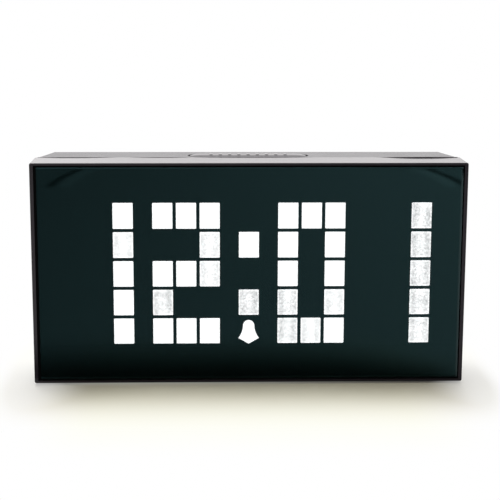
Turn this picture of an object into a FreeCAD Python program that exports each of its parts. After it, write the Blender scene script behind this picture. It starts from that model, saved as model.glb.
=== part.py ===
import FreeCAD, Part
import math
import os
from types import SimpleNamespace

import Sketcher
from FreeCAD import Vector

# Block-digit LED alarm clock, in millimetres. +X is to the right of someone facing the display,
# the display faces -Y, +Z is up. The origin lies on the surface under the feet, at the middle of
# the clock's width and depth.

# ---------------------------------------------------------------- driving sizes
SIZES = {
    # casing as a whole
    "caseWidth": "210",
    "caseHeight": "108.4",
    "caseDepth": "45.5",
    # front frame
    "bezelDepth": "21.6",
    "bezelWall": "2.2",
    "cornerRadius": "0.9",
    "edgeRound": "0.4",
    "rimWidth": "1.8",
    "rimHeight": "1.2",
    "ledgeWidth": "2.2",
    "ledgeThickness": "1.2",
    "hookWidth": "8",
    "hookReach": "1.3",
    "hookLength": "2.4",
    "hookPitch": "56",
    "hookPlay": "0.05",
    # smoked panel
    "panelThickness": "2.5",
    "panelInset": "0.2",
    "panelClearance": "0.1",
    "rebateWidth": "1.1",
    "rebateDepth": "0.9",
    # display
    "filmThickness": "0.25",
    "blockWidth": "10.06",
    "blockHeight": "12.94",
    "columnPitch": "11.4",
    "rowPitch": "14.26",
    "innerDigit": "30.36",
    "outerDigit": "72.21",
    "gridPlate": "1.5",
    "gridWall": "5.4",
    "gridRim": "2",
    "gridPlay": "0.3",
    "bellWidth": "10.1",
    "bellHeight": "11.9",
    "bellDome": "2.75",
    "bellLip": "2.9",
    "bellFlare": "10.5",
    "bellDrop": "0.65",
    # boards
    "boardThickness": "1.6",
    "chipWidth": "18",
    "chipHeight": "7.6",
    "chipThickness": "2.4",
    "chipDrop": "20.5",
    "legReach": "1.4",
    "legWidth": "0.44",
    "driverWidth": "10",
    "driverHeight": "4",
    "driverThickness": "1.6",
    "driverRise": "8",
    "driverOuterX": "66",
    "driverInnerX": "34",
    "crystalX": "22",
    "crystalLength": "11.2",
    "crystalWidth": "4.7",
    "crystalHeight": "3.6",
    "canInset": "19",
    "canPitch": "10",
    "canRadius": "3.15",
    "canHeight": "8",
    "canDrop": "26",
    "resistorRise": "26",
    "resistorPitch": "10",
    "resistorWidth": "3.2",
    "resistorHeight": "1.6",
    "resistorThickness": "0.6",
    "headerLength": "16",
    "headerWidth": "5",
    "headerHeight": "6",
    "cableX": "16",
    "ribbonWidth": "12.7",
    "ribbonThickness": "1",
    "ribbonDrop": "10.2",
    "ribbonRise": "7",
    "leadWidth": "2.6",
    "leadThickness": "1.1",
    "leadBend": "2",
    "leadInset": "3",
    "leadGap": "3.5",
    "leadSetback": "3",
    "ledBoardMargin": "7.8",
    "ledBoardGap": "1.3",
    "ledPostInset": "7",
    "ledPostEdge": "3.3",
    "ledWidth": "3.5",
    "ledHeight": "2.8",
    "ledThickness": "1.2",
    "controlBoardWidth": "134",
    "controlBoardHeight": "43",
    "controlBoardDrop": "12.4",
    "controlPostInset": "3",
    "controlPostEdge": "3.5",
    "postRadius": "2.6",
    "pilotRadius": "0.95",
    "boardHoleRadius": "1.2",
    "smallShankRadius": "0.9",
    "smallHeadRadius": "1.9",
    "smallHeadHeight": "1.3",
    "smallScrewLength": "5",
    # rear casing
    "sideStep": "1.3",
    "topStep": "0.15",
    "backInset": "7.3",
    "shellWall": "2.2",
    "shellRound": "0.5",
    "seamGap": "0.3",
    "tongueLength": "2",
    "tongueRoot": "1.2",
    "tongueThickness": "1.4",
    "tongueClearance": "0.15",
    "ribThickness": "1.5",
    "ribDepth": "3",
    # casing screws
    "bossInset": "15",
    "bossEdge": "7.2",
    "tubeRadius": "4.2",
    "bossRadius": "3.2",
    "bossRib": "2",
    "notchPlay": "0.6",
    "casePilotRadius": "1.35",
    "pilotSpare": "1",
    "caseShankRadius": "1.3",
    "caseHoleRadius": "1.75",
    "counterboreRadius": "3.2",
    "counterboreFloor": "3.5",
    "caseHeadRadius": "2.8",
    "caseHeadHeight": "2",
    "caseScrewLength": "12",
    # feet
    "footProud": "1",
    "footSunk": "0.8",
    "footRadius": "5",
    "footPlay": "0.15",
    "footInset": "21",
    "footFront": "10.5",
    "footRear": "9.5",
    # snooze bar
    "snoozeSetback": "8.6",
    "snoozeLength": "59.4",
    "snoozeWidth": "11",
    "snoozeProud": "0.5",
    "snoozeWall": "1.4",
    "snoozeTravel": "0.6",
    "snoozeRound": "0.4",
    "ribHeight": "0.3",
    "ribWidth": "1.7",
    "ribLength": "5",
    "ribPitch": "4.6",
    "snoozeBoardLength": "76",
    "snoozeBoardWidth": "9",
    "snoozePostX": "34.4",
    # moving keys and slides
    "keyPlay": "0.3",
    "flangePlay": "0.2",
    "flangeReach": "1",
    "flangeThickness": "1",
    "keyRecess": "1.6",
    "fieldWidth": "122",
    "fieldHeight": "17",
    "fieldDrop": "23.9",
    "fieldWall": "1.8",
    "fieldRim": "2",
    "keyLength": "11",
    "keyWidth": "5.6",
    "keySunk": "0.4",
    "keyEdge": "0.35",
    "keyPitch": "18.5",
    "firstKeyX": "-49",
    "keyTravel": "0.5",
    "switchSide": "6",
    "switchHeight": "3.5",
    "switchMargin": "0.3",
    "switchLegReach": "1.2",
    "switchLegWidth": "0.7",
    "switchLegPitch": "4.5",
    "switchLegThickness": "0.3",
    "plungerRadius": "1.55",
    "plungerPlay": "0.2",
    "plungerGuide": "1.2",
    "slideTravel": "2.5",
    "knobLength": "4.6",
    "knobWidth": "3.2",
    "knobSunk": "0.6",
    "skirtLength": "12.6",
    "skirtWidth": "6",
    "skirtThickness": "0.8",
    "stemLength": "2",
    "stemWidth": "1.4",
    "stemReach": "2.2",
    "slideBodyLength": "9",
    "slideBodyWidth": "4.6",
    "slideBodyGap": "0.4",
    "firstSlideX": "30",
    "slidePitch": "20",
    # low-voltage inlet
    "jackX": "-50",
    "jackRise": "9.5",
    "jackSide": "10",
    "jackNoseRadius": "4.2",
    "jackSunk": "0.3",
    "jackBoreRadius": "3.1",
    "jackBoreDepth": "7.4",
    "jackPinRadius": "1",
    "jackPinLength": "6.2",
    "jackPlay": "0.2",
    # buzzer
    "buzzerX": "-50",
    "buzzerZ": "30",
    "buzzerRadius": "11",
    "buzzerHeight": "4.2",
    "buzzerPlay": "0.2",
    "ringThickness": "1.5",
    "ringHeight": "3.2",
    "ventRadius": "0.8",
    "ventCircle": "4.5",
    # back-up cell
    "cellX": "50",
    "cellZ": "34",
    "cellRadius": "10",
    "cellThickness": "3.2",
    "cellEdge": "0.4",
    "cellPlay": "0.25",
    "contactThickness": "0.4",
    "contactWidth": "6",
    "contactLength": "16",
    "cupWall": "1.5",
    "cupFloor": "1.2",
    "coverWidth": "27",
    "coverHeight": "35",
    "coverThickness": "1.5",
    "coverPlay": "0.2",
    "coverGap": "0.2",
    "coverRim": "2",
    "coverTabWidth": "5",
    "coverTabReach": "1.3",
    "coverTabThickness": "0.6",
    "coverTabPitch": "7.5",
    "coverTabPlay": "0.3",
    "coverOffset": "4",
    "coverScrewDrop": "16.8",
    "coverHeadRadius": "2",
    "coverHeadHeight": "0.8",
    "coverShankRadius": "0.9",
    "coverScrewLength": "4.5",
    # hangers
    "hangerInset": "27",
    "hangerDrop": "32.4",
    "hangerRadius": "3.8",
    "hangerSlotWidth": "4",
    "hangerRise": "8",
}

KEYS = ("time", "alarm", "up", "down")
SLIDES = ("alarm", "dimmer")


class Dim:
    """A length that knows both its value and the formula that ties it to the sheet."""

    def __init__(self, text, value):
        self.text = text
        self.value = value

    @staticmethod
    def of(other):
        return other if isinstance(other, Dim) else Dim(repr(float(other)), float(other))

    def __add__(self, other):
        other = Dim.of(other)
        return Dim(f"({self.text} + {other.text})", self.value + other.value)

    def __sub__(self, other):
        other = Dim.of(other)
        return Dim(f"({self.text} - {other.text})", self.value - other.value)

    def __mul__(self, other):
        other = Dim.of(other)
        return Dim(f"({self.text} * {other.text})", self.value * other.value)

    def __truediv__(self, other):
        other = Dim.of(other)
        return Dim(f"({self.text} / {other.text})", self.value / other.value)

    def __rsub__(self, other):
        return Dim.of(other) - self

    def __neg__(self):
        return Dim(f"(-1 * {self.text})", -self.value)

    __radd__ = __add__
    __rmul__ = __mul__


doc = FreeCAD.newDocument("BlockDigitClock")
sheet = doc.addObject("Spreadsheet::Sheet", "Sizes")
for row, (alias, number) in enumerate(SIZES.items(), start=1):
    sheet.set(f"A{row}", alias)
    sheet.set(f"B{row}", number)
    sheet.setAlias(f"B{row}", alias)
doc.recompute()
S = SimpleNamespace(**{alias: Dim(f"Sizes.{alias}", float(number)) for alias, number in SIZES.items()})

# ---------------------------------------------------------------- levels worked out from the sizes
FRONT = -S.caseDepth / 2
BACK = S.caseDepth / 2
BASE = S.footProud
TOP = BASE + S.caseHeight
MID = BASE + S.caseHeight / 2

PANEL_FACE = FRONT + S.panelInset
PANEL_BACK = PANEL_FACE + S.panelThickness
LEDGE_BACK = PANEL_BACK + S.ledgeThickness
RECESS_X = S.caseWidth / 2 - S.rimWidth
RECESS_Z = S.caseHeight / 2 - S.rimHeight
OPENING_X = RECESS_X - S.ledgeWidth
OPENING_Z = S.caseHeight / 2 - S.rimWidth - S.ledgeWidth
CAVITY_X = S.caseWidth / 2 - S.bezelWall
CAVITY_Z = S.caseHeight / 2 - S.bezelWall
BEZEL_BACK = FRONT + S.bezelDepth

GRID_FACE = PANEL_BACK + S.filmThickness
PLATE_BACK = LEDGE_BACK + S.gridPlate
GRID_BACK = PLATE_BACK + S.gridWall
LED_BOARD_BACK = GRID_BACK + S.boardThickness
GRID_X = S.outerDigit + S.columnPitch + S.blockWidth / 2 + S.gridRim
GRID_Z = 2 * S.rowPitch + S.blockHeight / 2 + S.gridRim

BOSS_X = S.caseWidth / 2 - S.bossInset
BOSS_Z = S.caseHeight / 2 - S.bossEdge
FOOT_X = S.caseWidth / 2 - S.footInset
HANGER_X = S.caseWidth / 2 - S.hangerInset
HANGER_Z = TOP - S.hangerDrop
LED_BOARD_X = CAVITY_X - S.ledBoardMargin
LED_BOARD_Z = BOSS_Z - S.bossRadius - S.ledBoardGap
CONTROL_HIGH = TOP - S.controlBoardDrop
CONTROL_LOW = CONTROL_HIGH - S.controlBoardHeight
RIBBON_LOW = MID - S.ribbonDrop
RIBBON_HIGH = CONTROL_LOW + S.ribbonRise
JACK_Z = CONTROL_LOW + S.jackRise

SEAM = BEZEL_BACK + S.seamGap
SHELL_DEPTH = BACK - SEAM
SHELL_TOP = TOP - S.topStep
SHELL_FLOOR = BASE + S.topStep
INNER_BACK = BACK - S.shellWall
INNER_TOP = SHELL_TOP - S.shellWall
MOUTH_X = S.caseWidth / 2 - S.sideStep
INNER_MOUTH_X = MOUTH_X - S.shellWall
BACK_X = S.caseWidth / 2 - S.backInset
INNER_BACK_X = BACK_X + (MOUTH_X - BACK_X) * S.shellWall / SHELL_DEPTH - S.shellWall

FIELD_FLOOR = BACK - S.keyRecess
FIELD_INNER = FIELD_FLOOR - S.fieldWall
KEY_FLANGE_BACK = FIELD_INNER - S.flangePlay
KEY_FLANGE_FRONT = KEY_FLANGE_BACK - S.flangeThickness
SWITCH_TOP = KEY_FLANGE_FRONT - S.keyTravel - S.switchMargin
BOARD_BACK = SWITCH_TOP - S.switchHeight
BOARD_FRONT = BOARD_BACK - S.boardThickness

SNOOZE_Y = SEAM + S.snoozeSetback
SNOOZE_FLANGE_TOP = INNER_TOP - S.flangePlay
SNOOZE_FLANGE_LOW = SNOOZE_FLANGE_TOP - S.flangeThickness
SNOOZE_TOP = TOP + S.snoozeProud
SNOOZE_SWITCH_TOP = SNOOZE_FLANGE_LOW - S.snoozeTravel - S.switchMargin
SNOOZE_BOARD_TOP = SNOOZE_SWITCH_TOP - S.switchHeight
SNOOZE_BOARD_LOW = SNOOZE_BOARD_TOP - S.boardThickness

COVER_FLOOR = BACK - S.coverThickness - S.coverGap
CELL_BACK = COVER_FLOOR
CELL_FRONT = CELL_BACK - S.cellThickness
CUP_FLOOR = CELL_FRONT - S.contactThickness
CUP_FRONT = CUP_FLOOR - S.cupFloor
CELL_Z = BASE + S.cellZ
COVER_Z = CELL_Z - S.coverOffset
COVER_SCREW_Z = CELL_Z - S.coverScrewDrop

CHIP_LEGS = 14
DRIVER_LEGS = 8
RESISTORS = 12
SNOOZE_RIBS = 9
VENTS = 6

# ---------------------------------------------------------------- modelling helpers
NORMAL = {"XY_Plane": "+Z", "XZ_Plane": "-Y", "YZ_Plane": "+X"}
NODES = []


def node(label, made):
    """Gives a finished sub-part its name and keeps it for export."""
    made.Label = label
    NODES.append(made)
    return made


def new_body(label):
    return node(label, doc.addObject("PartDesign::Body", label))


def sketch_on(body, name, role, level):
    made = body.newObject("Sketcher::SketchObject", name)
    origin_plane = next(f for f in body.Origin.OriginFeatures if f.Role == role)
    made.AttachmentSupport = [(origin_plane, "")]
    made.MapMode = "FlatFace"
    made.setExpression("AttachmentOffset.Base.z", level.text)
    return made


def face_sketch(body, name, y):
    """A sketch square to Y at that depth: its axes are X and Z."""
    return sketch_on(body, name, "XZ_Plane", -Dim.of(y))


def level_sketch(body, name, z):
    """A sketch square to Z at that height: its axes are X and Y."""
    return sketch_on(body, name, "XY_Plane", Dim.of(z))


def hold(sketch, kind, places, size):
    """Adds one driving constraint and ties it to the sheet."""
    size = Dim.of(size)
    index = sketch.addConstraint(Sketcher.Constraint(kind, *places, size.value))
    sketch.setExpression(f"Constraints[{index}]", size.text)


def outline(sketch, points):
    """A closed outline of straight sides through the given points."""
    spots = [(Dim.of(x), Dim.of(y)) for x, y in points]
    first = sketch.GeometryCount
    count = len(spots)
    for index in range(count):
        (x0, y0), (x1, y1) = spots[index], spots[(index + 1) % count]
        side = Part.LineSegment(Vector(x0.value, y0.value, 0), Vector(x1.value, y1.value, 0))
        sketch.addGeometry(side, False)
    for index in range(count):
        following = first + (index + 1) % count
        sketch.addConstraint(Sketcher.Constraint("Coincident", first + index, 2, following, 1))
    for index, (x, y) in enumerate(spots):
        hold(sketch, "DistanceX", (-1, 1, first + index, 1), x)
        hold(sketch, "DistanceY", (-1, 1, first + index, 1), y)


def rectangle(sketch, x, y, half_x, half_y):
    """A rectangle about the point x, y."""
    x, y = Dim.of(x), Dim.of(y)
    left, right, low, high = x - half_x, x + half_x, y - half_y, y + half_y
    outline(sketch, [(left, low), (right, low), (right, high), (left, high)])


def disc(sketch, x, y, radius):
    x, y, radius = Dim.of(x), Dim.of(y), Dim.of(radius)
    index = sketch.GeometryCount
    centre = Vector(x.value, y.value, 0)
    sketch.addGeometry(Part.Circle(centre, Vector(0, 0, 1), radius.value), False)
    hold(sketch, "DistanceX", (-1, 1, index, 3), x)
    hold(sketch, "DistanceY", (-1, 1, index, 3), y)
    hold(sketch, "Radius", (index,), radius)


def stadium(sketch, x, y, length, width, upright=False):
    """A slot with round ends about the point x, y, lying along X or standing along the other axis."""
    x, y, length, width = Dim.of(x), Dim.of(y), Dim.of(length), Dim.of(width)
    reach, radius = (length - width) / 2, width / 2
    turn = math.pi / 2 if upright else 0.0
    along = Vector(math.cos(turn), math.sin(turn), 0)
    aside = Vector(-math.sin(turn), math.cos(turn), 0)
    middle = Vector(x.value, y.value, 0)
    near = middle - along * reach.value
    far = middle + along * reach.value
    up = aside * radius.value
    first = sketch.GeometryCount
    upper, lower, near_end, far_end = range(first, first + 4)
    sketch.addGeometry(Part.LineSegment(near + up, far + up), False)
    sketch.addGeometry(Part.LineSegment(near - up, far - up), False)
    near_circle = Part.Circle(near, Vector(0, 0, 1), radius.value)
    far_circle = Part.Circle(far, Vector(0, 0, 1), radius.value)
    quarter = math.pi / 2
    sketch.addGeometry(Part.ArcOfCircle(near_circle, turn + quarter, turn + 3 * quarter), False)
    sketch.addGeometry(Part.ArcOfCircle(far_circle, turn - quarter, turn + quarter), False)
    sketch.addConstraint(Sketcher.Constraint("Tangent", upper, 1, near_end, 1))
    sketch.addConstraint(Sketcher.Constraint("Tangent", upper, 2, far_end, 2))
    sketch.addConstraint(Sketcher.Constraint("Tangent", lower, 1, near_end, 2))
    sketch.addConstraint(Sketcher.Constraint("Tangent", lower, 2, far_end, 1))
    sketch.addConstraint(Sketcher.Constraint("Equal", near_end, far_end))
    sketch.addConstraint(Sketcher.Constraint("Vertical" if upright else "Horizontal", upper))
    hold(sketch, "Radius", (near_end,), radius)
    if upright:
        hold(sketch, "DistanceX", (-1, 1, near_end, 3), x)
        hold(sketch, "DistanceY", (-1, 1, near_end, 3), y - reach)
        hold(sketch, "DistanceY", (-1, 1, far_end, 3), y + reach)
    else:
        hold(sketch, "DistanceY", (-1, 1, near_end, 3), y)
        hold(sketch, "DistanceX", (-1, 1, near_end, 3), x - reach)
        hold(sketch, "DistanceX", (-1, 1, far_end, 3), x + reach)


def normal_of(sketch):
    return NORMAL[sketch.AttachmentSupport[0][0].Role]


def pad(body, name, sketch, length, way, midplane=False):
    made = body.newObject("PartDesign::Pad", name)
    made.Profile = sketch
    made.setExpression("Length", Dim.of(length).text)
    made.Midplane = midplane
    made.Reversed = way != normal_of(sketch)
    doc.recompute()
    return made


def pocket(body, name, sketch, length, way, midplane=False):
    """Cuts from the sketch's level in the given direction, and makes sure that it cut something."""
    before = body.Shape.Volume
    made = body.newObject("PartDesign::Pocket", name)
    made.Profile = sketch
    made.setExpression("Length", Dim.of(length).text)
    made.Midplane = midplane
    made.Reversed = way == normal_of(sketch)
    doc.recompute()
    if body.Shape.Volume >= before:
        raise RuntimeError(f"{name} cut nothing")
    return made


def edges_of(feature, wanted):
    """The names of a feature's edges that the test picks."""
    picked = []
    for index, edge in enumerate(feature.Shape.Edges, start=1):
        if wanted(edge):
            picked.append(f"Edge{index}")
    if not picked:
        raise RuntimeError(f"no edge found on {feature.Name}")
    return picked


def fillet(body, name, radius, wanted):
    base = body.Tip
    made = body.newObject("PartDesign::Fillet", name)
    made.Base = (base, edges_of(base, wanted))
    made.setExpression("Radius", Dim.of(radius).text)
    doc.recompute()
    return made


def chamfer(body, name, size, wanted):
    base = body.Tip
    made = body.newObject("PartDesign::Chamfer", name)
    made.Base = (base, edges_of(base, wanted))
    made.setExpression("Size", Dim.of(size).text)
    doc.recompute()
    return made


def close(first, second):
    return abs(first - second) < 1e-4


def spans(edge, axis, length):
    """Tells whether an edge runs straight along an axis for that length."""
    box = edge.BoundBox
    reach = {"X": box.XLength, "Y": box.YLength, "Z": box.ZLength}
    others = sum(value for key, value in reach.items() if key != axis)
    return close(reach[axis], Dim.of(length).value) and others < 1e-4


def lies_at_y(edge, y):
    box = edge.BoundBox
    return close(box.YMin, Dim.of(y).value) and close(box.YMax, Dim.of(y).value)


def lies_at_z(edge, z):
    box = edge.BoundBox
    return close(box.ZMin, Dim.of(z).value) and close(box.ZMax, Dim.of(z).value)


def place(made, x, y, z):
    for axis, value in zip("xyz", (x, y, z)):
        made.setExpression(f"Placement.Base.{axis}", Dim.of(value).text)


def block(name, x, y, z, half_x, half_z, length):
    """A box whose middle lies at x, z, and which runs from y towards the back for its length."""
    x, z, half_x, half_z = Dim.of(x), Dim.of(z), Dim.of(half_x), Dim.of(half_z)
    made = doc.addObject("Part::Box", name)
    made.setExpression("Length", (half_x * 2).text)
    made.setExpression("Width", Dim.of(length).text)
    made.setExpression("Height", (half_z * 2).text)
    place(made, x - half_x, y, z - half_z)
    return made


def rod(name, x, y, z, radius, length, way="+Y"):
    """A cylinder from the point x, y, z for its length."""
    turns = {
        "+Y": FreeCAD.Rotation(Vector(1, 0, 0), -90),
        "-Y": FreeCAD.Rotation(Vector(1, 0, 0), 90),
        "+Z": FreeCAD.Rotation(),
        "-Z": FreeCAD.Rotation(Vector(1, 0, 0), 180),
    }
    made = doc.addObject("Part::Cylinder", name)
    made.setExpression("Radius", Dim.of(radius).text)
    made.setExpression("Height", Dim.of(length).text)
    made.Placement = FreeCAD.Placement(Vector(0, 0, 0), turns[way])
    place(made, x, y, z)
    return made


def fuse(name, pieces):
    made = doc.addObject("Part::MultiFuse", name)
    made.Shapes = pieces
    return made


def cut(name, base, tool):
    made = doc.addObject("Part::Cut", name)
    made.Base = base
    made.Tool = tool
    return made


def group(name, pieces):
    made = doc.addObject("Part::Compound", name)
    made.Links = pieces
    return made


def corners(x, z, middle=MID):
    """The four places at plus and minus x, and z above and below the middle."""
    return [(side * Dim.of(x), middle + up * Dim.of(z)) for side in (-1, 1) for up in (-1, 1)]


def screw(name, x, y, z, shank, length, head, head_height, way):
    """A pan-head screw: y or z is the seat under its head, and its tip points the given way."""
    backwards = {"+Y": "-Y", "-Y": "+Y", "+Z": "-Z"}[way]
    tip = rod(name + "Shank", x, y, z, shank, length, way)
    cap = rod(name + "Head", x, y, z, head, head_height, backwards)
    return fuse(name, [tip, cap])


def small_screw(name, x, y, z, way):
    return screw(
        name, x, y, z, S.smallShankRadius, S.smallScrewLength, S.smallHeadRadius, S.smallHeadHeight, way
    )


# ---------------------------------------------------------------- front frame, panel and display
def make_front_bezel():
    body = new_body("front_bezel")
    shape = face_sketch(body, "BezelOutline", FRONT)
    rectangle(shape, 0, MID, S.caseWidth / 2, S.caseHeight / 2)
    pad(body, "BezelBlock", shape, S.bezelDepth, "+Y")
    fillet(body, "BezelCorners", S.cornerRadius, lambda edge: spans(edge, "Y", S.bezelDepth))
    fillet(body, "BezelRimRound", S.edgeRound, lambda edge: lies_at_y(edge, FRONT))

    recess = face_sketch(body, "PanelRecess", FRONT)
    rectangle(recess, 0, MID, RECESS_X, RECESS_Z)
    pocket(body, "PanelPocket", recess, PANEL_BACK - FRONT, "+Y")
    opening = face_sketch(body, "LedgeOpening", PANEL_BACK)
    rectangle(opening, 0, MID, OPENING_X, OPENING_Z)
    pocket(body, "LedgePocket", opening, BEZEL_BACK - PANEL_BACK, "+Y")
    cavity = face_sketch(body, "RearCavity", BEZEL_BACK)
    rectangle(cavity, 0, MID, CAVITY_X, CAVITY_Z)
    pocket(body, "RearPocket", cavity, BEZEL_BACK - LEDGE_BACK, "-Y")

    bosses = face_sketch(body, "BossCircles", LEDGE_BACK)
    for x, z in corners(BOSS_X, BOSS_Z):
        disc(bosses, x, z, S.bossRadius)
    ribs = face_sketch(body, "BossRibs", LEDGE_BACK)
    rib_half = (CAVITY_Z - BOSS_Z) / 2
    for x, z in corners(BOSS_X, BOSS_Z + rib_half):
        rectangle(ribs, x, z, S.bossRib / 2, rib_half)
    clear_of_tongue = BEZEL_BACK - LEDGE_BACK - S.tongueLength - S.gridPlay
    pad(body, "BossRibPads", ribs, clear_of_tongue, "+Y")
    pad(body, "BossPads", bosses, SEAM - LEDGE_BACK, "+Y")
    pilots = face_sketch(body, "BossPilots", SEAM)
    for x, z in corners(BOSS_X, BOSS_Z):
        disc(pilots, x, z, S.casePilotRadius)
    pocket(body, "BossPilotHoles", pilots, S.caseScrewLength - S.counterboreFloor + S.pilotSpare, "-Y")

    hooks = face_sketch(body, "HookNoses", PLATE_BACK + S.hookPlay)
    for x, z in corners(S.hookPitch, CAVITY_Z - S.hookReach / 2):
        rectangle(hooks, x, z, S.hookWidth / 2, S.hookReach / 2)
    for up in (-1, 1):
        rectangle(hooks, 0, MID + up * (CAVITY_Z - S.hookReach / 2), S.hookWidth / 2, S.hookReach / 2)
    pad(body, "HookPads", hooks, S.hookLength, "+Y")

    seats = level_sketch(body, "FrontFootSeats", BASE)
    for side in (-1, 1):
        disc(seats, side * FOOT_X, FRONT + S.footFront, S.footRadius + S.footPlay)
    pocket(body, "FrontFootPockets", seats, S.footSunk, "+Z")


def make_front_panel():
    body = new_body("front_panel")
    half_x = RECESS_X - S.panelClearance
    half_z = RECESS_Z - S.panelClearance
    plate = face_sketch(body, "PanelPlate", PANEL_BACK)
    rectangle(plate, 0, MID, half_x, half_z)
    pad(body, "PanelShoulder", plate, S.panelThickness - S.rebateDepth, "-Y")
    face = face_sketch(body, "PanelFace", PANEL_FACE + S.rebateDepth)
    rectangle(face, 0, MID, half_x - S.rebateWidth, half_z - S.rebateWidth)
    pad(body, "PanelRaised", face, S.rebateDepth, "-Y")


def make_diffuser_film():
    film = block(
        "diffuser_film", 0, PANEL_BACK, MID, OPENING_X - S.gridPlay, OPENING_Z - S.gridPlay, S.filmThickness
    )
    node("diffuser_film", film)


def lay_out_digits(body, name, feature, sketch):
    """Repeats a feature over the 3 by 5 blocks of the four digits, from the right inner digit."""
    steps = (
        ("Columns", "H_Axis", 2 * S.columnPitch, 3),
        ("Rows", "V_Axis", 4 * S.rowPitch, 5),
        ("Digits", "H_Axis", S.outerDigit - S.innerDigit, 2),
    )
    transforms = []
    pattern = body.newObject("PartDesign::MultiTransform", name)
    for step, axis, length, count in steps:
        made = body.newObject("PartDesign::LinearPattern", name + step)
        made.Direction = (sketch, [axis])
        made.setExpression("Length", length.text)
        made.Occurrences = count
        transforms.append(made)
    halves = body.newObject("PartDesign::Mirrored", name + "Halves")
    halves.MirrorPlane = (sketch, ["V_Axis"])
    pattern.Originals = [feature]
    pattern.Transformations = transforms + [halves]
    body.Tip = pattern
    doc.recompute()
    return pattern


FIRST_BLOCK_X = S.innerDigit - S.columnPitch
FIRST_BLOCK_Z = MID - 2 * S.rowPitch


def bell_outline(sketch, x, z):
    """An upright bell: a half-round dome, sides flared by arcs and a mouth drawn to a point below."""
    x, z = Dim.of(x), Dim.of(z)
    low = z - S.bellHeight / 2
    lip = low + S.bellLip
    shoulder = low + S.bellHeight - S.bellDome
    dome = sketch.GeometryCount
    dome_centre = Vector(x.value, shoulder.value, 0)
    dome_circle = Part.Circle(dome_centre, Vector(0, 0, 1), S.bellDome.value)
    sketch.addGeometry(Part.ArcOfCircle(dome_circle, 0, math.pi), False)
    hold(sketch, "DistanceX", (-1, 1, dome, 3), x)
    hold(sketch, "DistanceY", (-1, 1, dome, 3), shoulder)
    hold(sketch, "Radius", (dome,), S.bellDome)
    tip = Vector(x.value, low.value, 0)
    for side, dome_end in ((1, 1), (-1, 2)):
        corner_x = x + side * S.bellWidth / 2
        top = dome_centre + Vector(side * S.bellDome.value, 0, 0)
        foot = Vector(corner_x.value, lip.value, 0)
        run = foot - top
        outward = Vector(-run.y, run.x, 0).normalize() * side
        reach = math.sqrt(S.bellFlare.value ** 2 - run.Length ** 2 / 4)
        waist = (top + foot) / 2 + outward * (reach - S.bellFlare.value)
        flare, mouth = sketch.GeometryCount, sketch.GeometryCount + 1
        sketch.addGeometry(Part.Arc(top, waist, foot), False)
        sketch.addGeometry(Part.LineSegment(foot, tip), False)
        starts_at_top = sketch.getPoint(flare, 1).distanceToPoint(top) < run.Length / 2
        top_end, foot_end = (1, 2) if starts_at_top else (2, 1)
        sketch.addConstraint(Sketcher.Constraint("Coincident", flare, top_end, dome, dome_end))
        sketch.addConstraint(Sketcher.Constraint("Coincident", flare, foot_end, mouth, 1))
        hold(sketch, "DistanceY", (-1, 1, dome, dome_end), shoulder)
        hold(sketch, "DistanceX", (-1, 1, mouth, 1), corner_x)
        hold(sketch, "DistanceY", (-1, 1, mouth, 1), lip)
        hold(sketch, "Radius", (flare,), S.bellFlare)
    right_mouth, left_mouth = dome + 2, dome + 4
    sketch.addConstraint(Sketcher.Constraint("Coincident", left_mouth, 2, right_mouth, 2))
    hold(sketch, "DistanceX", (-1, 1, left_mouth, 2), x)
    hold(sketch, "DistanceY", (-1, 1, left_mouth, 2), low)


def make_light_grid():
    body = new_body("light_grid")
    half_x = CAVITY_X - S.gridPlay
    half_z = CAVITY_Z - S.gridPlay
    plate = face_sketch(body, "GridPlate", LEDGE_BACK)
    rectangle(plate, 0, MID, half_x, half_z)
    pad(body, "GridPlatePad", plate, S.gridPlate, "+Y")
    plateau = face_sketch(body, "GridPlateau", LEDGE_BACK)
    rectangle(plateau, 0, MID, OPENING_X - S.gridPlay, OPENING_Z - S.gridPlay)
    pad(body, "GridPlateauPad", plateau, S.ledgeThickness - S.filmThickness, "-Y")
    walls = face_sketch(body, "GridWalls", PLATE_BACK)
    rectangle(walls, 0, MID, GRID_X, GRID_Z)
    pad(body, "GridWallsPad", walls, S.gridWall, "+Y")
    posts = face_sketch(body, "BoardPosts", PLATE_BACK)
    for x, z in led_board_screws():
        disc(posts, x, z, S.postRadius)
    pad(body, "BoardPostPads", posts, S.gridWall, "+Y")
    pilots = face_sketch(body, "BoardPilots", GRID_BACK)
    for x, z in led_board_screws():
        disc(pilots, x, z, S.pilotRadius)
    pocket(body, "BoardPilotHoles", pilots, S.gridWall, "-Y")

    notch_x = S.bossRadius + S.notchPlay
    notch_low = BOSS_Z - S.bossRadius - S.notchPlay
    notch_half = (half_z + S.gridPlay - notch_low) / 2
    notches = face_sketch(body, "BossNotches", GRID_FACE)
    for x, z in corners(BOSS_X, notch_low + notch_half):
        rectangle(notches, x, z, notch_x, notch_half)
    pocket(body, "BossNotchCuts", notches, PLATE_BACK - GRID_FACE, "+Y")

    depth = GRID_BACK - GRID_FACE
    window = face_sketch(body, "BlockWindow", GRID_FACE)
    rectangle(window, FIRST_BLOCK_X, FIRST_BLOCK_Z, S.blockWidth / 2, S.blockHeight / 2)
    first = pocket(body, "BlockCut", window, depth, "+Y")
    lay_out_digits(body, "Digit", first, window)
    colon = face_sketch(body, "ColonWindows", GRID_FACE)
    for up in (-1, 1):
        rectangle(colon, 0, MID + up * S.rowPitch, S.blockWidth / 2, S.blockHeight / 2)
    pocket(body, "ColonCuts", colon, depth, "+Y")
    bell = face_sketch(body, "BellWindow", GRID_FACE)
    bell_outline(bell, 0, FIRST_BLOCK_Z - S.bellDrop)
    pocket(body, "BellCut", bell, depth, "+Y")


def led_board_screws():
    """Where the LED board is screwed to the grid: its four corners and the middle of each long side."""
    x, z = LED_BOARD_X - S.ledPostInset, LED_BOARD_Z - S.ledPostEdge
    return corners(x, z) + [(Dim.of(0), MID + up * z) for up in (-1, 1)]


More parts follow.
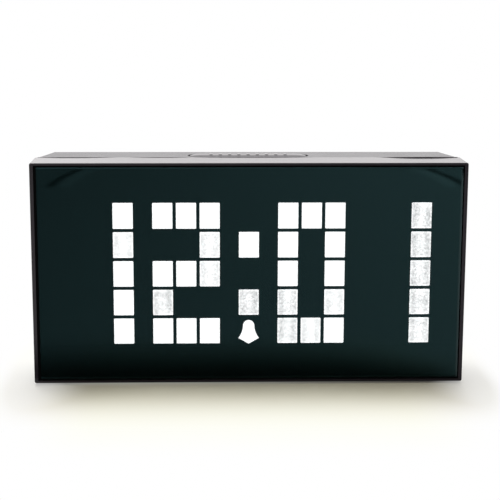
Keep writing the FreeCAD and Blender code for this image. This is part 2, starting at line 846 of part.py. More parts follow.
# ---------------------------------------------------------------- LED board and what it carries
def make_led_board():
    body = new_body("led_board")
    shape = face_sketch(body, "LedBoardOutline", GRID_BACK)
    rectangle(shape, 0, MID, LED_BOARD_X, LED_BOARD_Z)
    pad(body, "LedBoardPad", shape, S.boardThickness, "+Y")
    holes = face_sketch(body, "LedBoardHoles", GRID_BACK)
    for x, z in led_board_screws():
        disc(holes, x, z, S.boardHoleRadius)
    pocket(body, "LedBoardHoleCuts", holes, S.boardThickness, "+Y")
    screws = []
    for index, (x, z) in enumerate(led_board_screws()):
        screws.append(small_screw(f"LedBoardScrew{index}", x, LED_BOARD_BACK, z, "-Y"))
    node("led_board_screws", group("led_board_screws", screws))


def make_leds():
    body = new_body("leds")
    shape = face_sketch(body, "LedOutline", GRID_BACK)
    rectangle(shape, FIRST_BLOCK_X, FIRST_BLOCK_Z, S.ledWidth / 2, S.ledHeight / 2)
    first = pad(body, "LedPad", shape, S.ledThickness, "-Y")
    lay_out_digits(body, "Led", first, shape)
    middle = face_sketch(body, "MiddleLeds", GRID_BACK)
    for z in (MID + S.rowPitch, MID - S.rowPitch, FIRST_BLOCK_Z):
        rectangle(middle, 0, z, S.ledWidth / 2, S.ledHeight / 2)
    pad(body, "MiddleLedPads", middle, S.ledThickness, "-Y")


def legged_chip(name, x, z, width, height, thickness, legs):
    """A gull-wing chip on the back of the LED board, with its legs along the two long sides."""
    made = [block(name + "Case", x, LED_BOARD_BACK, z, width / 2, height / 2, thickness)]
    pitch = width / legs
    for up in (-1, 1):
        leg_z = z + up * (height + S.legReach) / 2
        for leg in range(legs):
            leg_x = x - width / 2 + pitch * (leg + 0.5)
            leg_name = f"{name}Leg{up + 1}{leg}"
            half_x, half_z = S.legWidth / 2, S.legReach / 2
            made.append(block(leg_name, leg_x, LED_BOARD_BACK, leg_z, half_x, half_z, thickness / 2))
    return fuse(name, made)


def make_led_board_parts():
    chip_z = MID - S.chipDrop
    chip = legged_chip(
        "controller_chip", Dim.of(0), chip_z, S.chipWidth, S.chipHeight, S.chipThickness, CHIP_LEGS
    )
    node("controller_chip", chip)
    drivers = []
    for index, x in enumerate((-S.driverOuterX, -S.driverInnerX, S.driverInnerX, S.driverOuterX)):
        drivers.append(
            legged_chip(
                f"Driver{index}", x, MID + S.driverRise, S.driverWidth, S.driverHeight, S.driverThickness,
                DRIVER_LEGS,
            )
        )
    node("driver_chips", group("driver_chips", drivers))
    crystal = new_body("crystal")
    shape = face_sketch(crystal, "CrystalOutline", LED_BOARD_BACK)
    stadium(shape, S.crystalX, chip_z, S.crystalLength, S.crystalWidth)
    pad(crystal, "CrystalCan", shape, S.crystalHeight, "+Y")
    cans = []
    for index in range(2):
        x = index * S.canPitch + S.canInset - LED_BOARD_X
        cans.append(rod(f"Capacitor{index}", x, LED_BOARD_BACK, MID - S.canDrop, S.canRadius, S.canHeight))
    node("buffer_capacitors", group("buffer_capacitors", cans))
    chips = []
    for index in range(RESISTORS):
        x = (index - (RESISTORS - 1) / 2) * S.resistorPitch
        chips.append(
            block(
                f"Resistor{index}", x, LED_BOARD_BACK, MID + S.resistorRise, S.resistorWidth / 2,
                S.resistorHeight / 2, S.resistorThickness,
            )
        )
    node("segment_resistors", group("segment_resistors", chips))
    half_x, half_z = S.headerLength / 2, S.headerWidth / 2
    headers = [
        block("LedHeader", S.cableX, LED_BOARD_BACK, RIBBON_LOW, half_x, half_z, S.headerHeight),
        block(
            "ControlHeader", S.cableX, BOARD_FRONT - S.headerHeight, RIBBON_HIGH,
            half_x, half_z, S.headerHeight,
        ),
    ]
    node("cable_headers", group("cable_headers", headers))


def flat_lead(label, x, width, thickness, route):
    """A flat lead at x, along straight runs in the Y-Z plane joined by tangent arcs."""
    points = [Vector(x.value, y.value, z.value) for y, z in route]
    edges = []
    start = points[0]
    for before, here, after in zip(points, points[1:], points[2:]):
        toward = (before - here).normalize()
        onward = (after - here).normalize()
        shortest = min((before - here).Length, (after - here).Length)
        cutback = min(S.leadBend.value, 0.45 * shortest)
        first = here + toward * cutback
        last = here + onward * cutback
        bisector = (toward + onward).normalize()
        half_turn = math.acos(max(-1.0, min(1.0, toward.dot(onward)))) / 2
        radius = cutback * math.tan(half_turn)
        centre = here + bisector * (cutback / math.cos(half_turn))
        edges.append(Part.LineSegment(start, first).toShape())
        edges.append(Part.Arc(first, centre - bisector * radius, last).toShape())
        start = last
    edges.append(Part.LineSegment(start, points[-1]).toShape())
    run = (points[1] - points[0]).normalize()
    side = Vector(1, 0, 0) * (width.value / 2)
    up = run.cross(Vector(1, 0, 0)) * (thickness.value / 2)
    ends = [points[0] + side + up, points[0] - side + up, points[0] - side - up, points[0] + side - up]
    section = Part.makePolygon(ends + [ends[0]])
    shape = Part.Wire(edges).makePipeShell([section], True, True)
    made = doc.addObject("Part::Feature", label)
    made.Shape = shape
    return node(label, made)


def make_leads():
    start = LED_BOARD_BACK + S.headerHeight
    end = BOARD_FRONT - S.headerHeight
    middle = (start + end) / 2
    flat_lead(
        "ribbon_cable", S.cableX, S.ribbonWidth, S.ribbonThickness,
        [(start, RIBBON_LOW), (middle, RIBBON_LOW), (middle, RIBBON_HIGH), (end, RIBBON_HIGH)],
    )
    drop = CONTROL_HIGH - S.leadInset
    lead_front = SNOOZE_Y - S.leadSetback
    flat_lead(
        "snooze_lead", S.cableX, S.leadWidth, S.leadThickness,
        [(lead_front, SNOOZE_BOARD_LOW), (lead_front, drop), (BOARD_FRONT, drop)],
    )
    solder_z = CONTROL_LOW + S.leadInset
    lead_y = BOARD_FRONT - S.leadGap
    buzzer_face = INNER_BACK - S.buzzerHeight
    for label, x, face, z in (
        ("buzzer_lead", S.buzzerX, buzzer_face, BASE + S.buzzerZ),
        ("cell_lead", S.cellX, CUP_FRONT, CELL_Z),
    ):
        flat_lead(
            label, x, S.leadWidth, S.leadThickness,
            [(face, z + S.leadInset), (lead_y, z + S.leadInset), (lead_y, solder_z), (BOARD_FRONT, solder_z)],
        )


# ---------------------------------------------------------------- rear casing
def key_places():
    return [(name, S.firstKeyX + index * S.keyPitch) for index, name in enumerate(KEYS)]


def slide_places():
    return [(name, S.firstSlideX + index * S.slidePitch) for index, name in enumerate(SLIDES)]


KEY_Z = TOP - S.fieldDrop
SLOT_LENGTH = S.knobLength + S.slideTravel + 2 * S.keyPlay
SLOT_WIDTH = S.knobWidth + 2 * S.keyPlay


def board_posts():
    x = S.controlBoardWidth / 2 - S.controlPostInset
    low, high = CONTROL_LOW + S.controlPostEdge, CONTROL_HIGH - S.controlPostEdge
    return [(side * x, z) for side in (-1, 1) for z in (low, high)]


def make_shell_hull(body):
    """The tapered box: straight top and floor, sides drawn in towards the back."""
    plan = level_sketch(body, "ShellPlan", MID)
    outline(plan, [(-MOUTH_X, SEAM), (MOUTH_X, SEAM), (BACK_X, BACK), (-BACK_X, BACK)])
    pad(body, "ShellBlock", plan, SHELL_TOP - SHELL_FLOOR, "+Z", midplane=True)
    fillet(body, "ShellRounds", S.shellRound, lambda edge: not lies_at_y(edge, SEAM))
    hollow = level_sketch(body, "ShellHollow", MID)
    outline(
        hollow,
        [
            (-INNER_MOUTH_X, SEAM), (INNER_MOUTH_X, SEAM),
            (INNER_BACK_X, INNER_BACK), (-INNER_BACK_X, INNER_BACK),
        ],
    )
    pocket(body, "ShellHollowCut", hollow, INNER_TOP - SHELL_FLOOR - S.shellWall, "-Z", midplane=True)


def make_tongue(body):
    """The lip that nests inside the front frame."""
    half_x = CAVITY_X - S.tongueClearance
    half_z = CAVITY_Z - S.tongueClearance
    ring = face_sketch(body, "TongueRing", SEAM - S.tongueLength)
    rectangle(ring, 0, MID, half_x, half_z)
    rectangle(ring, 0, MID, half_x - S.tongueThickness, half_z - S.tongueThickness)
    pad(body, "TonguePad", ring, S.tongueLength + S.tongueRoot, "+Y")


def make_case_tubes(body):
    """Screw tubes from the back wall to the seam, with deep counterbores."""
    tubes = face_sketch(body, "ScrewTubes", INNER_BACK)
    for x, z in corners(BOSS_X, BOSS_Z):
        disc(tubes, x, z, S.tubeRadius)
    pad(body, "ScrewTubePads", tubes, INNER_BACK - SEAM, "-Y")
    ribs = face_sketch(body, "SideRibs", INNER_BACK)
    for side in (-1, 1):
        rectangle(ribs, side * BOSS_X, MID, S.ribThickness / 2, BOSS_Z - S.counterboreRadius)
    pad(body, "SideRibPads", ribs, S.ribDepth, "-Y")
    for name, radius, depth in (
        ("ScrewHoles", S.caseHoleRadius, SHELL_DEPTH),
        ("Counterbores", S.counterboreRadius, SHELL_DEPTH - S.counterboreFloor),
    ):
        circles = face_sketch(body, name, BACK)
        for x, z in corners(BOSS_X, BOSS_Z):
            disc(circles, x, z, radius)
        pocket(body, name + "Cut", circles, depth, "-Y")


def make_key_field(body):
    """The recessed field for the keys and slides, thickened behind, and the posts of their board."""
    backing = face_sketch(body, "FieldBacking", INNER_BACK)
    half_x, half_z = S.fieldWidth / 2, S.fieldHeight / 2
    rectangle(backing, 0, KEY_Z, half_x + S.fieldRim, half_z + S.fieldRim)
    pad(body, "FieldBackingPad", backing, INNER_BACK - FIELD_INNER, "-Y")
    field = face_sketch(body, "FieldRecess", BACK)
    stadium(field, 0, KEY_Z, S.fieldWidth, S.fieldHeight)
    pocket(body, "FieldCut", field, S.keyRecess, "-Y")
    holes = face_sketch(body, "KeyHoles", FIELD_FLOOR)
    for name, x in key_places():
        stadium(holes, x, KEY_Z, S.keyLength + 2 * S.keyPlay, S.keyWidth + 2 * S.keyPlay)
    for name, x in slide_places():
        rectangle(holes, x, KEY_Z, SLOT_LENGTH / 2, SLOT_WIDTH / 2)
    pocket(body, "KeyHoleCuts", holes, S.fieldWall, "-Y")
    posts = face_sketch(body, "ControlPosts", INNER_BACK)
    for x, z in board_posts():
        disc(posts, x, z, S.postRadius)
    pad(body, "ControlPostPads", posts, INNER_BACK - BOARD_BACK, "-Y")
    pilots = face_sketch(body, "ControlPilots", BOARD_BACK)
    for x, z in board_posts():
        disc(pilots, x, z, S.pilotRadius)
    pocket(body, "ControlPilotHoles", pilots, S.smallScrewLength, "+Y")


def cover_tabs():
    """Where the tabs along the top edge of the cell's cover lie."""
    return [S.cellX + side * S.coverTabPitch for side in (-1, 1)]


def make_cell_bay(body):
    """The cup for the back-up cell, its cover's recess, and the boss of the cover's screw."""
    rim_x = S.coverWidth / 2 + S.coverPlay
    rim_z = S.coverHeight / 2 + S.coverPlay
    backing = face_sketch(body, "BayBacking", INNER_BACK)
    rectangle(backing, S.cellX, COVER_Z, rim_x + S.coverRim, rim_z + S.coverRim)
    pad(body, "BayBackingPad", backing, INNER_BACK - (COVER_FLOOR - S.cupWall), "-Y")
    cup = face_sketch(body, "CellCup", INNER_BACK)
    disc(cup, S.cellX, CELL_Z, S.cellRadius + S.cellPlay + S.cupWall)
    pad(body, "CellCupPad", cup, INNER_BACK - CUP_FRONT, "-Y")
    boss = face_sketch(body, "CoverBoss", INNER_BACK)
    disc(boss, S.cellX, COVER_SCREW_Z, S.postRadius)
    pad(body, "CoverBossPad", boss, INNER_BACK - CUP_FRONT, "-Y")
    recess = face_sketch(body, "CoverRecess", BACK)
    rectangle(recess, S.cellX, COVER_Z, rim_x, rim_z)
    pocket(body, "CoverRecessCut", recess, BACK - COVER_FLOOR, "-Y")
    slots = face_sketch(body, "CoverTabSlots", COVER_FLOOR)
    slot_half = (S.coverTabReach + S.coverTabPlay) / 2
    for x in cover_tabs():
        rectangle(slots, x, COVER_Z + rim_z + slot_half, S.coverTabWidth / 2 + S.coverTabPlay, slot_half)
    slot_depth = S.coverGap + S.coverTabThickness + S.coverTabPlay
    pocket(body, "CoverTabSlotCuts", slots, slot_depth, "+Y")
    well = face_sketch(body, "CellWell", COVER_FLOOR)
    disc(well, S.cellX, CELL_Z, S.cellRadius + S.cellPlay)
    pocket(body, "CellWellCut", well, COVER_FLOOR - CUP_FLOOR, "-Y")
    pilot = face_sketch(body, "CoverPilot", COVER_FLOOR)
    disc(pilot, S.cellX, COVER_SCREW_Z, S.pilotRadius)
    pocket(body, "CoverPilotHole", pilot, S.coverScrewLength, "-Y")


def make_back_openings(body):
    """The inlet's hole, the buzzer's ring and vents, and the two keyhole hangers."""
    inlet = face_sketch(body, "InletHole", BACK)
    disc(inlet, S.jackX, JACK_Z, S.jackNoseRadius + S.jackPlay)
    pocket(body, "InletCut", inlet, S.shellWall, "-Y")
    ring = face_sketch(body, "BuzzerRing", INNER_BACK)
    centre = (S.buzzerX, BASE + S.buzzerZ)
    disc(ring, *centre, S.buzzerRadius + S.buzzerPlay + S.ringThickness)
    disc(ring, *centre, S.buzzerRadius + S.buzzerPlay)
    pad(body, "BuzzerRingPad", ring, S.ringHeight, "-Y")
    vents = face_sketch(body, "BuzzerVents", BACK)
    disc(vents, *centre, S.ventRadius)
    for index in range(VENTS):
        angle = 2 * math.pi * index / VENTS
        x = centre[0] + S.ventCircle * math.cos(angle)
        z = centre[1] + S.ventCircle * math.sin(angle)
        disc(vents, x, z, S.ventRadius)
    pocket(body, "BuzzerVentCuts", vents, S.shellWall, "-Y")
    for name in ("HangerEntries", "HangerSlots"):
        shapes = face_sketch(body, name, BACK)
        for side in (-1, 1):
            if name == "HangerEntries":
                disc(shapes, side * HANGER_X, HANGER_Z, S.hangerRadius)
            else:
                middle = HANGER_Z + S.hangerRise / 2
                length = S.hangerRise + S.hangerSlotWidth
                stadium(shapes, side * HANGER_X, middle, length, S.hangerSlotWidth, upright=True)
        pocket(body, name + "Cut", shapes, S.shellWall, "-Y")


def make_snooze_seat(body):
    """The slot for the bar, and the two bosses that hold its switch board under the top wall."""
    bosses = level_sketch(body, "SnoozeBosses", SNOOZE_BOARD_TOP)
    for side in (-1, 1):
        disc(bosses, side * S.snoozePostX, SNOOZE_Y, S.postRadius)
    pad(body, "SnoozeBossPads", bosses, INNER_TOP - SNOOZE_BOARD_TOP, "+Z")
    pilots = level_sketch(body, "SnoozePilots", SNOOZE_BOARD_TOP)
    for side in (-1, 1):
        disc(pilots, side * S.snoozePostX, SNOOZE_Y, S.pilotRadius)
    pocket(body, "SnoozePilotHoles", pilots, S.smallScrewLength, "+Z")
    slot = level_sketch(body, "SnoozeSlot", SHELL_TOP)
    stadium(slot, 0, SNOOZE_Y, S.snoozeLength + 2 * S.keyPlay, S.snoozeWidth + 2 * S.keyPlay)
    pocket(body, "SnoozeSlotCut", slot, S.shellWall, "-Z")


def make_rear_shell():
    body = new_body("rear_shell")
    make_shell_hull(body)
    make_tongue(body)
    make_case_tubes(body)
    make_key_field(body)
    make_cell_bay(body)
    make_back_openings(body)
    make_snooze_seat(body)
    seats = level_sketch(body, "RearFootSeats", SHELL_FLOOR)
    for side in (-1, 1):
        disc(seats, side * FOOT_X, BACK - S.footRear, S.footRadius + S.footPlay)
    pocket(body, "RearFootPockets", seats, S.footSunk, "+Z")


def make_fasteners_and_feet():
    seat = SEAM + S.counterboreFloor
    screws = []
    for index, (x, z) in enumerate(corners(BOSS_X, BOSS_Z)):
        screws.append(
            screw(
                f"CaseScrew{index}", x, seat, z, S.caseShankRadius, S.caseScrewLength,
                S.caseHeadRadius, S.caseHeadHeight, "-Y",
            )
        )
    node("case_screws", group("case_screws", screws))
    feet = []
    for side in (-1, 1):
        x = side * FOOT_X
        front_height = BASE + S.footSunk
        rear_height = SHELL_FLOOR + S.footSunk
        feet.append(rod(f"FrontFoot{side + 1}", x, FRONT + S.footFront, 0, S.footRadius, front_height, "+Z"))
        feet.append(rod(f"RearFoot{side + 1}", x, BACK - S.footRear, 0, S.footRadius, rear_height, "+Z"))
    node("rubber_feet", group("rubber_feet", feet))


# ---------------------------------------------------------------- control board and what it carries
def make_control_board():
    body = new_body("control_board")
    half_z = S.controlBoardHeight / 2
    middle = CONTROL_LOW + half_z
    shape = face_sketch(body, "ControlOutline", BOARD_FRONT)
    rectangle(shape, 0, middle, S.controlBoardWidth / 2, half_z)
    pad(body, "ControlPad", shape, S.boardThickness, "+Y")
    holes = face_sketch(body, "ControlHoles", BOARD_FRONT)
    for x, z in board_posts():
        disc(holes, x, z, S.boardHoleRadius)
    pocket(body, "ControlHoleCuts", holes, S.boardThickness, "+Y")
    screws = []
    for index, (x, z) in enumerate(board_posts()):
        screws.append(small_screw(f"ControlScrew{index}", x, BOARD_FRONT, z, "+Y"))
    node("control_board_screws", group("control_board_screws", screws))


def tact_switch(name, x, y, z, way):
    """A square switch with a round well for its plunger and four flat legs on its board."""
    half = S.switchSide / 2
    legs = []
    if way == "+Y":
        case = block(name + "Case", x, y - S.switchHeight, z, half, half, S.switchHeight)
        well_start = y - S.switchHeight + S.plungerGuide
        well = rod(name + "Well", x, well_start, z, S.plungerRadius + S.plungerPlay, S.switchHeight, way)
        for index, (side, up) in enumerate(((-1, -1), (-1, 1), (1, -1), (1, 1))):
            leg_x = x + side * (half + S.switchLegReach / 2)
            leg_z = z + up * S.switchLegPitch / 2
            leg_half = S.switchLegWidth / 2
            legs.append(
                block(
                    f"{name}Leg{index}", leg_x, y - S.switchHeight, leg_z, S.switchLegReach / 2, leg_half,
                    S.switchLegThickness,
                )
            )
    else:
        case = doc.addObject("Part::Box", name + "Case")
        for side in ("Length", "Width"):
            case.setExpression(side, S.switchSide.text)
        case.setExpression("Height", S.switchHeight.text)
        place(case, x - half, y - half, z - S.switchHeight)
        well_start = z - S.switchHeight + S.plungerGuide
        well = rod(name + "Well", x, y, well_start, S.plungerRadius + S.plungerPlay, S.switchHeight, way)
        for index, (side, across) in enumerate(((-1, -1), (-1, 1), (1, -1), (1, 1))):
            leg = doc.addObject("Part::Box", f"{name}Leg{index}")
            leg.setExpression("Length", S.switchLegReach.text)
            leg.setExpression("Width", S.switchLegWidth.text)
            leg.setExpression("Height", S.switchLegThickness.text)
            leg_x = x + side * (half + S.switchLegReach / 2) - S.switchLegReach / 2
            leg_y = y + across * S.switchLegPitch / 2 - S.switchLegWidth / 2
            place(leg, leg_x, leg_y, z - S.switchHeight)
            legs.append(leg)
    return fuse(name, [cut(name + "Housing", case, well)] + legs)


def make_switches():
    keys = [tact_switch(f"KeySwitch{name}", x, SWITCH_TOP, KEY_Z, "+Y") for name, x in key_places()]
    node("key_switches", group("key_switches", keys))
    slides = []
    top = FIELD_INNER - S.flangePlay - S.skirtThickness - S.slideBodyGap
    depth = top - BOARD_BACK
    for name, x in slide_places():
        case = block(
            f"SlideCase{name}", x, BOARD_BACK, KEY_Z, S.slideBodyLength / 2, S.slideBodyWidth / 2, depth
        )
        half_x = (S.stemLength + S.slideTravel) / 2 + S.plungerPlay
        half_z = S.stemWidth / 2 + S.plungerPlay
        groove_depth = S.stemReach + S.switchMargin - S.slideBodyGap
        groove = block(f"SlideGroove{name}", x, top - groove_depth, KEY_Z, half_x, half_z, depth)
        slides.append(cut(f"SlideSwitch{name}", case, groove))
    node("slide_switches", group("slide_switches", slides))


def make_jack():
    body = new_body("power_inlet")
    case = face_sketch(body, "InletCase", BOARD_BACK)
    rectangle(case, S.jackX, JACK_Z, S.jackSide / 2, S.jackSide / 2)
    pad(body, "InletCasePad", case, INNER_BACK - S.jackPlay - BOARD_BACK, "+Y")
    nose = face_sketch(body, "InletNose", INNER_BACK - S.jackPlay)
    disc(nose, S.jackX, JACK_Z, S.jackNoseRadius)
    pad(body, "InletNosePad", nose, S.shellWall + S.jackPlay - S.jackSunk, "+Y")
    mouth = BACK - S.jackSunk
    bore = face_sketch(body, "InletBore", mouth)
    disc(bore, S.jackX, JACK_Z, S.jackBoreRadius)
    pocket(body, "InletBoreCut", bore, S.jackBoreDepth, "-Y")
    pin = face_sketch(body, "InletPin", mouth - S.jackBoreDepth)
    disc(pin, S.jackX, JACK_Z, S.jackPinRadius)
    pad(body, "InletPinPad", pin, S.jackPinLength, "+Y")


def make_buzzer_and_cell():
    buzzer = rod(
        "buzzer", S.buzzerX, INNER_BACK - S.buzzerHeight, BASE + S.buzzerZ, S.buzzerRadius, S.buzzerHeight
    )
    node("buzzer", buzzer)
    contact = block(
        "cell_contact", S.cellX, CUP_FLOOR, CELL_Z,
        S.contactWidth / 2, S.contactLength / 2, S.contactThickness,
    )
    node("cell_contact", contact)
    cell = new_body("coin_cell")
    can = face_sketch(cell, "CellCan", CELL_FRONT)
    disc(can, S.cellX, CELL_Z, S.cellRadius)
    pad(cell, "CellCanPad", can, S.cellThickness, "+Y")
    chamfer(cell, "CellCanEdge", S.cellEdge, lambda edge: lies_at_y(edge, CELL_BACK))

    cover = new_body("cell_cover")
    plate = face_sketch(cover, "CoverPlate", BACK - S.coverThickness)
    rectangle(plate, S.cellX, COVER_Z, S.coverWidth / 2, S.coverHeight / 2)
    pad(cover, "CoverPlatePad", plate, S.coverThickness, "+Y")
    tabs = face_sketch(cover, "CoverTabs", BACK - S.coverThickness)
    tab_half = (S.coverTabReach + S.coverPlay) / 2
    for x in cover_tabs():
        rectangle(tabs, x, COVER_Z + S.coverHeight / 2 + tab_half, S.coverTabWidth / 2, tab_half)
    pad(cover, "CoverTabPads", tabs, S.coverTabThickness, "+Y")
    seat = face_sketch(cover, "CoverScrewSeat", BACK)
    disc(seat, S.cellX, COVER_SCREW_Z, S.coverHeadRadius + S.coverPlay)
    pocket(cover, "CoverScrewSeatCut", seat, S.coverHeadHeight, "-Y")
    hole = face_sketch(cover, "CoverScrewHole", BACK)
    disc(hole, S.cellX, COVER_SCREW_Z, S.boardHoleRadius)
    pocket(cover, "CoverScrewHoleCut", hole, S.coverThickness, "-Y")
    fastener = screw(
        "CoverScrew", S.cellX, BACK - S.coverHeadHeight, COVER_SCREW_Z, S.coverShankRadius,
        S.coverScrewLength, S.coverHeadRadius, S.coverHeadHeight, "-Y",
    )
    node("cell_cover_screw", fastener)


# ---------------------------------------------------------------- snooze bar and its switch
def make_snooze():
    bar = new_body("snooze_bar")
    cap = level_sketch(bar, "BarCap", SNOOZE_FLANGE_TOP)
    stadium(cap, 0, SNOOZE_Y, S.snoozeLength, S.snoozeWidth)
    pad(bar, "BarCapPad", cap, SNOOZE_TOP - SNOOZE_FLANGE_TOP, "+Z")
    fillet(bar, "BarRound", S.snoozeRound, lambda edge: lies_at_z(edge, SNOOZE_TOP))
    flange = level_sketch(bar, "BarFlange", SNOOZE_FLANGE_LOW)
    reach = 2 * (S.keyPlay + S.flangeReach)
    stadium(flange, 0, SNOOZE_Y, S.snoozeLength + reach, S.snoozeWidth + reach)
    pad(bar, "BarFlangePad", flange, S.flangeThickness, "+Z")
    hollow = level_sketch(bar, "BarHollow", SNOOZE_FLANGE_LOW)
    inner_length = S.snoozeLength - 2 * S.snoozeWall
    stadium(hollow, 0, SNOOZE_Y, inner_length, S.snoozeWidth - 2 * S.snoozeWall)
    hollow_height = SNOOZE_TOP - S.snoozeWall - SNOOZE_FLANGE_LOW
    pocket(bar, "BarHollowCut", hollow, hollow_height, "+Z")
    stem = level_sketch(bar, "BarStem", SNOOZE_FLANGE_LOW)
    disc(stem, 0, SNOOZE_Y, S.postRadius)
    pad(bar, "BarStemPad", stem, hollow_height, "+Z")
    ribs = level_sketch(bar, "BarRibs", SNOOZE_TOP)
    for index in range(SNOOZE_RIBS):
        x = (index - (SNOOZE_RIBS - 1) / 2) * S.ribPitch
        rectangle(ribs, x, SNOOZE_Y, S.ribWidth / 2, S.ribLength / 2)
    pad(bar, "BarRibPads", ribs, S.ribHeight, "+Z")

    plunger_length = SNOOZE_FLANGE_LOW - (SNOOZE_SWITCH_TOP - S.switchHeight + S.plungerGuide)
    plunger = rod(
        "snooze_plunger", 0, SNOOZE_Y, SNOOZE_FLANGE_LOW, S.plungerRadius,
        plunger_length - S.snoozeTravel - S.switchMargin, "-Z",
    )
    node("snooze_plunger", plunger)
    node("snooze_switch", tact_switch("snooze_switch", Dim.of(0), SNOOZE_Y, SNOOZE_SWITCH_TOP, "+Z"))

    board = new_body("snooze_board")
    shape = level_sketch(board, "SnoozeBoardOutline", SNOOZE_BOARD_LOW)
    rectangle(shape, 0, SNOOZE_Y, S.snoozeBoardLength / 2, S.snoozeBoardWidth / 2)
    pad(board, "SnoozeBoardPad", shape, S.boardThickness, "+Z")
    holes = level_sketch(board, "SnoozeBoardHoles", SNOOZE_BOARD_LOW)
    for side in (-1, 1):
        disc(holes, side * S.snoozePostX, SNOOZE_Y, S.boardHoleRadius)
    pocket(board, "SnoozeBoardHoleCuts", holes, S.boardThickness, "+Z")
    screws = []
    for side in (-1, 1):
        screws.append(
            small_screw(f"SnoozeScrew{side + 1}", side * S.snoozePostX, SNOOZE_Y, SNOOZE_BOARD_LOW, "+Z")
        )
    node("snooze_board_screws", group("snooze_board_screws", screws))


# ---------------------------------------------------------------- rear keys and slides
def make_key(name, x):
    key = new_body(f"{name}_button")
    reach = 2 * (S.keyPlay + S.flangeReach)
    flange = face_sketch(key, f"{name}Flange", KEY_FLANGE_FRONT)
    stadium(flange, x, KEY_Z, S.keyLength + reach, S.keyWidth + reach)
    pad(key, f"{name}FlangePad", flange, S.flangeThickness, "+Y")
    cap = face_sketch(key, f"{name}Cap", KEY_FLANGE_BACK)
    stadium(cap, x, KEY_Z, S.keyLength, S.keyWidth)
    top = BACK - S.keySunk
    pad(key, f"{name}CapPad", cap, top - KEY_FLANGE_BACK, "+Y")
    chamfer(key, f"{name}Edge", S.keyEdge, lambda edge: lies_at_y(edge, top))
    well_floor = SWITCH_TOP - S.switchHeight + S.plungerGuide
    length = KEY_FLANGE_FRONT - well_floor - S.keyTravel - S.switchMargin
    plunger = rod(f"{name}_plunger", x, KEY_FLANGE_FRONT, KEY_Z, S.plungerRadius, length, "-Y")
    node(f"{name}_plunger", plunger)


def make_slide(name, x):
    """A slide knob at the left end of its travel."""
    slide = new_body(f"{name}_slider")
    at_rest = x - S.slideTravel / 2
    skirt_front = KEY_FLANGE_BACK - S.skirtThickness
    skirt = face_sketch(slide, f"{name}Skirt", skirt_front)
    rectangle(skirt, at_rest, KEY_Z, S.skirtLength / 2, S.skirtWidth / 2)
    pad(slide, f"{name}SkirtPad", skirt, S.skirtThickness, "+Y")
    knob = face_sketch(slide, f"{name}Knob", KEY_FLANGE_BACK)
    rectangle(knob, at_rest, KEY_Z, S.knobLength / 2, S.knobWidth / 2)
    pad(slide, f"{name}KnobPad", knob, BACK - S.knobSunk - KEY_FLANGE_BACK, "+Y")
    stem = face_sketch(slide, f"{name}Stem", skirt_front)
    rectangle(stem, at_rest, KEY_Z, S.stemLength / 2, S.stemWidth / 2)
    pad(slide, f"{name}StemPad", stem, S.stemReach, "-Y")


def check_and_export():
    doc.recompute()
    faults = [made.Name for made in doc.Objects if "Invalid" in made.State or "Error" in made.State]
    for made in NODES:
        shape = made.Shape
        if shape.isNull() or not shape.isValid() or not shape.Solids:
            faults.append(made.Label)
    if faults:
        raise RuntimeError("failed: " + ", ".join(faults))
    os.makedirs("parts", exist_ok=True)
    for made in NODES:
        made.Shape.exportStep(os.path.join("parts", made.Label + ".step"))
        print(f"{made.Label}: {len(made.Shape.Solids)} solids, {made.Shape.Volume:.1f} mm3")


make_front_bezel()
make_front_panel()
make_diffuser_film()
make_light_grid()
make_led_board()
make_leds()
make_led_board_parts()
make_rear_shell()
make_fasteners_and_feet()
make_control_board()
make_switches()
make_jack()
make_buzzer_and_cell()
make_snooze()
for key_name, key_x in key_places():
    make_key(key_name, key_x)
for slide_name, slide_x in slide_places():
    make_slide(slide_name, slide_x)
make_leads()
check_and_export()
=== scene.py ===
"""Looks of a block-digit LED alarm clock, built around its packed construction model.

Lengths are in metres, in the model's frame: +X is to the right of someone facing the display, the
display faces -Y, +Z is up, and the clock stands at Z = 0.
"""
import logging
import math
from collections.abc import Sequence
from dataclasses import dataclass, field
from enum import Enum
from typing import Any

import bpy
import numpy as np
from mathutils import Matrix, Vector


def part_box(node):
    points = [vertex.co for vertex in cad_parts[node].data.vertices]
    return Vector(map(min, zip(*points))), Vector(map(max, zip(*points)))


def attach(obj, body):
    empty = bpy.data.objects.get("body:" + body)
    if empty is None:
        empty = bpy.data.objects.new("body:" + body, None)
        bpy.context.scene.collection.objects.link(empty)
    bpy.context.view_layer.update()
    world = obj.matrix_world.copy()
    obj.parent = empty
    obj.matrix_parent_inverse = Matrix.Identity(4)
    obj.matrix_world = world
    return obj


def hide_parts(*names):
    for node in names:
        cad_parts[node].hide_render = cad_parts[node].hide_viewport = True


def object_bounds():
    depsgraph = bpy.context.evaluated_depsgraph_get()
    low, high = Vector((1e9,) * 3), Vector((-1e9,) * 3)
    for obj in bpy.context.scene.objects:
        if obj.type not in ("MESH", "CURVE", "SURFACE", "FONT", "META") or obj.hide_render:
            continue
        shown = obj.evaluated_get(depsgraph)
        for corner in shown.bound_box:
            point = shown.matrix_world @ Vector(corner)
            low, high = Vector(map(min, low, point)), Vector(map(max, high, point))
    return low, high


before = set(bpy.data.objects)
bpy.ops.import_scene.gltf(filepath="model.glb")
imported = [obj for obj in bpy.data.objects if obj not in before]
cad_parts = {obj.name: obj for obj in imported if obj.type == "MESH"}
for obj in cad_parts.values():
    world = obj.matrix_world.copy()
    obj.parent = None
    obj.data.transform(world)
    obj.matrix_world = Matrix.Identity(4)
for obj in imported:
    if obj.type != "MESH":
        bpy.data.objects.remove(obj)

CAD_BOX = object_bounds()
NODES: dict[str, bpy.types.Object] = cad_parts
MM = 0.001
LOG = logging.getLogger("clock")

Triple = tuple[float, float, float]
Colour = Triple
Span = tuple[float, float]

NOISE_MIDDLE = 0.5
FLAT_FACE = 0.9995  # a face square to an axis to within this cosine is shaded flat, the others smooth


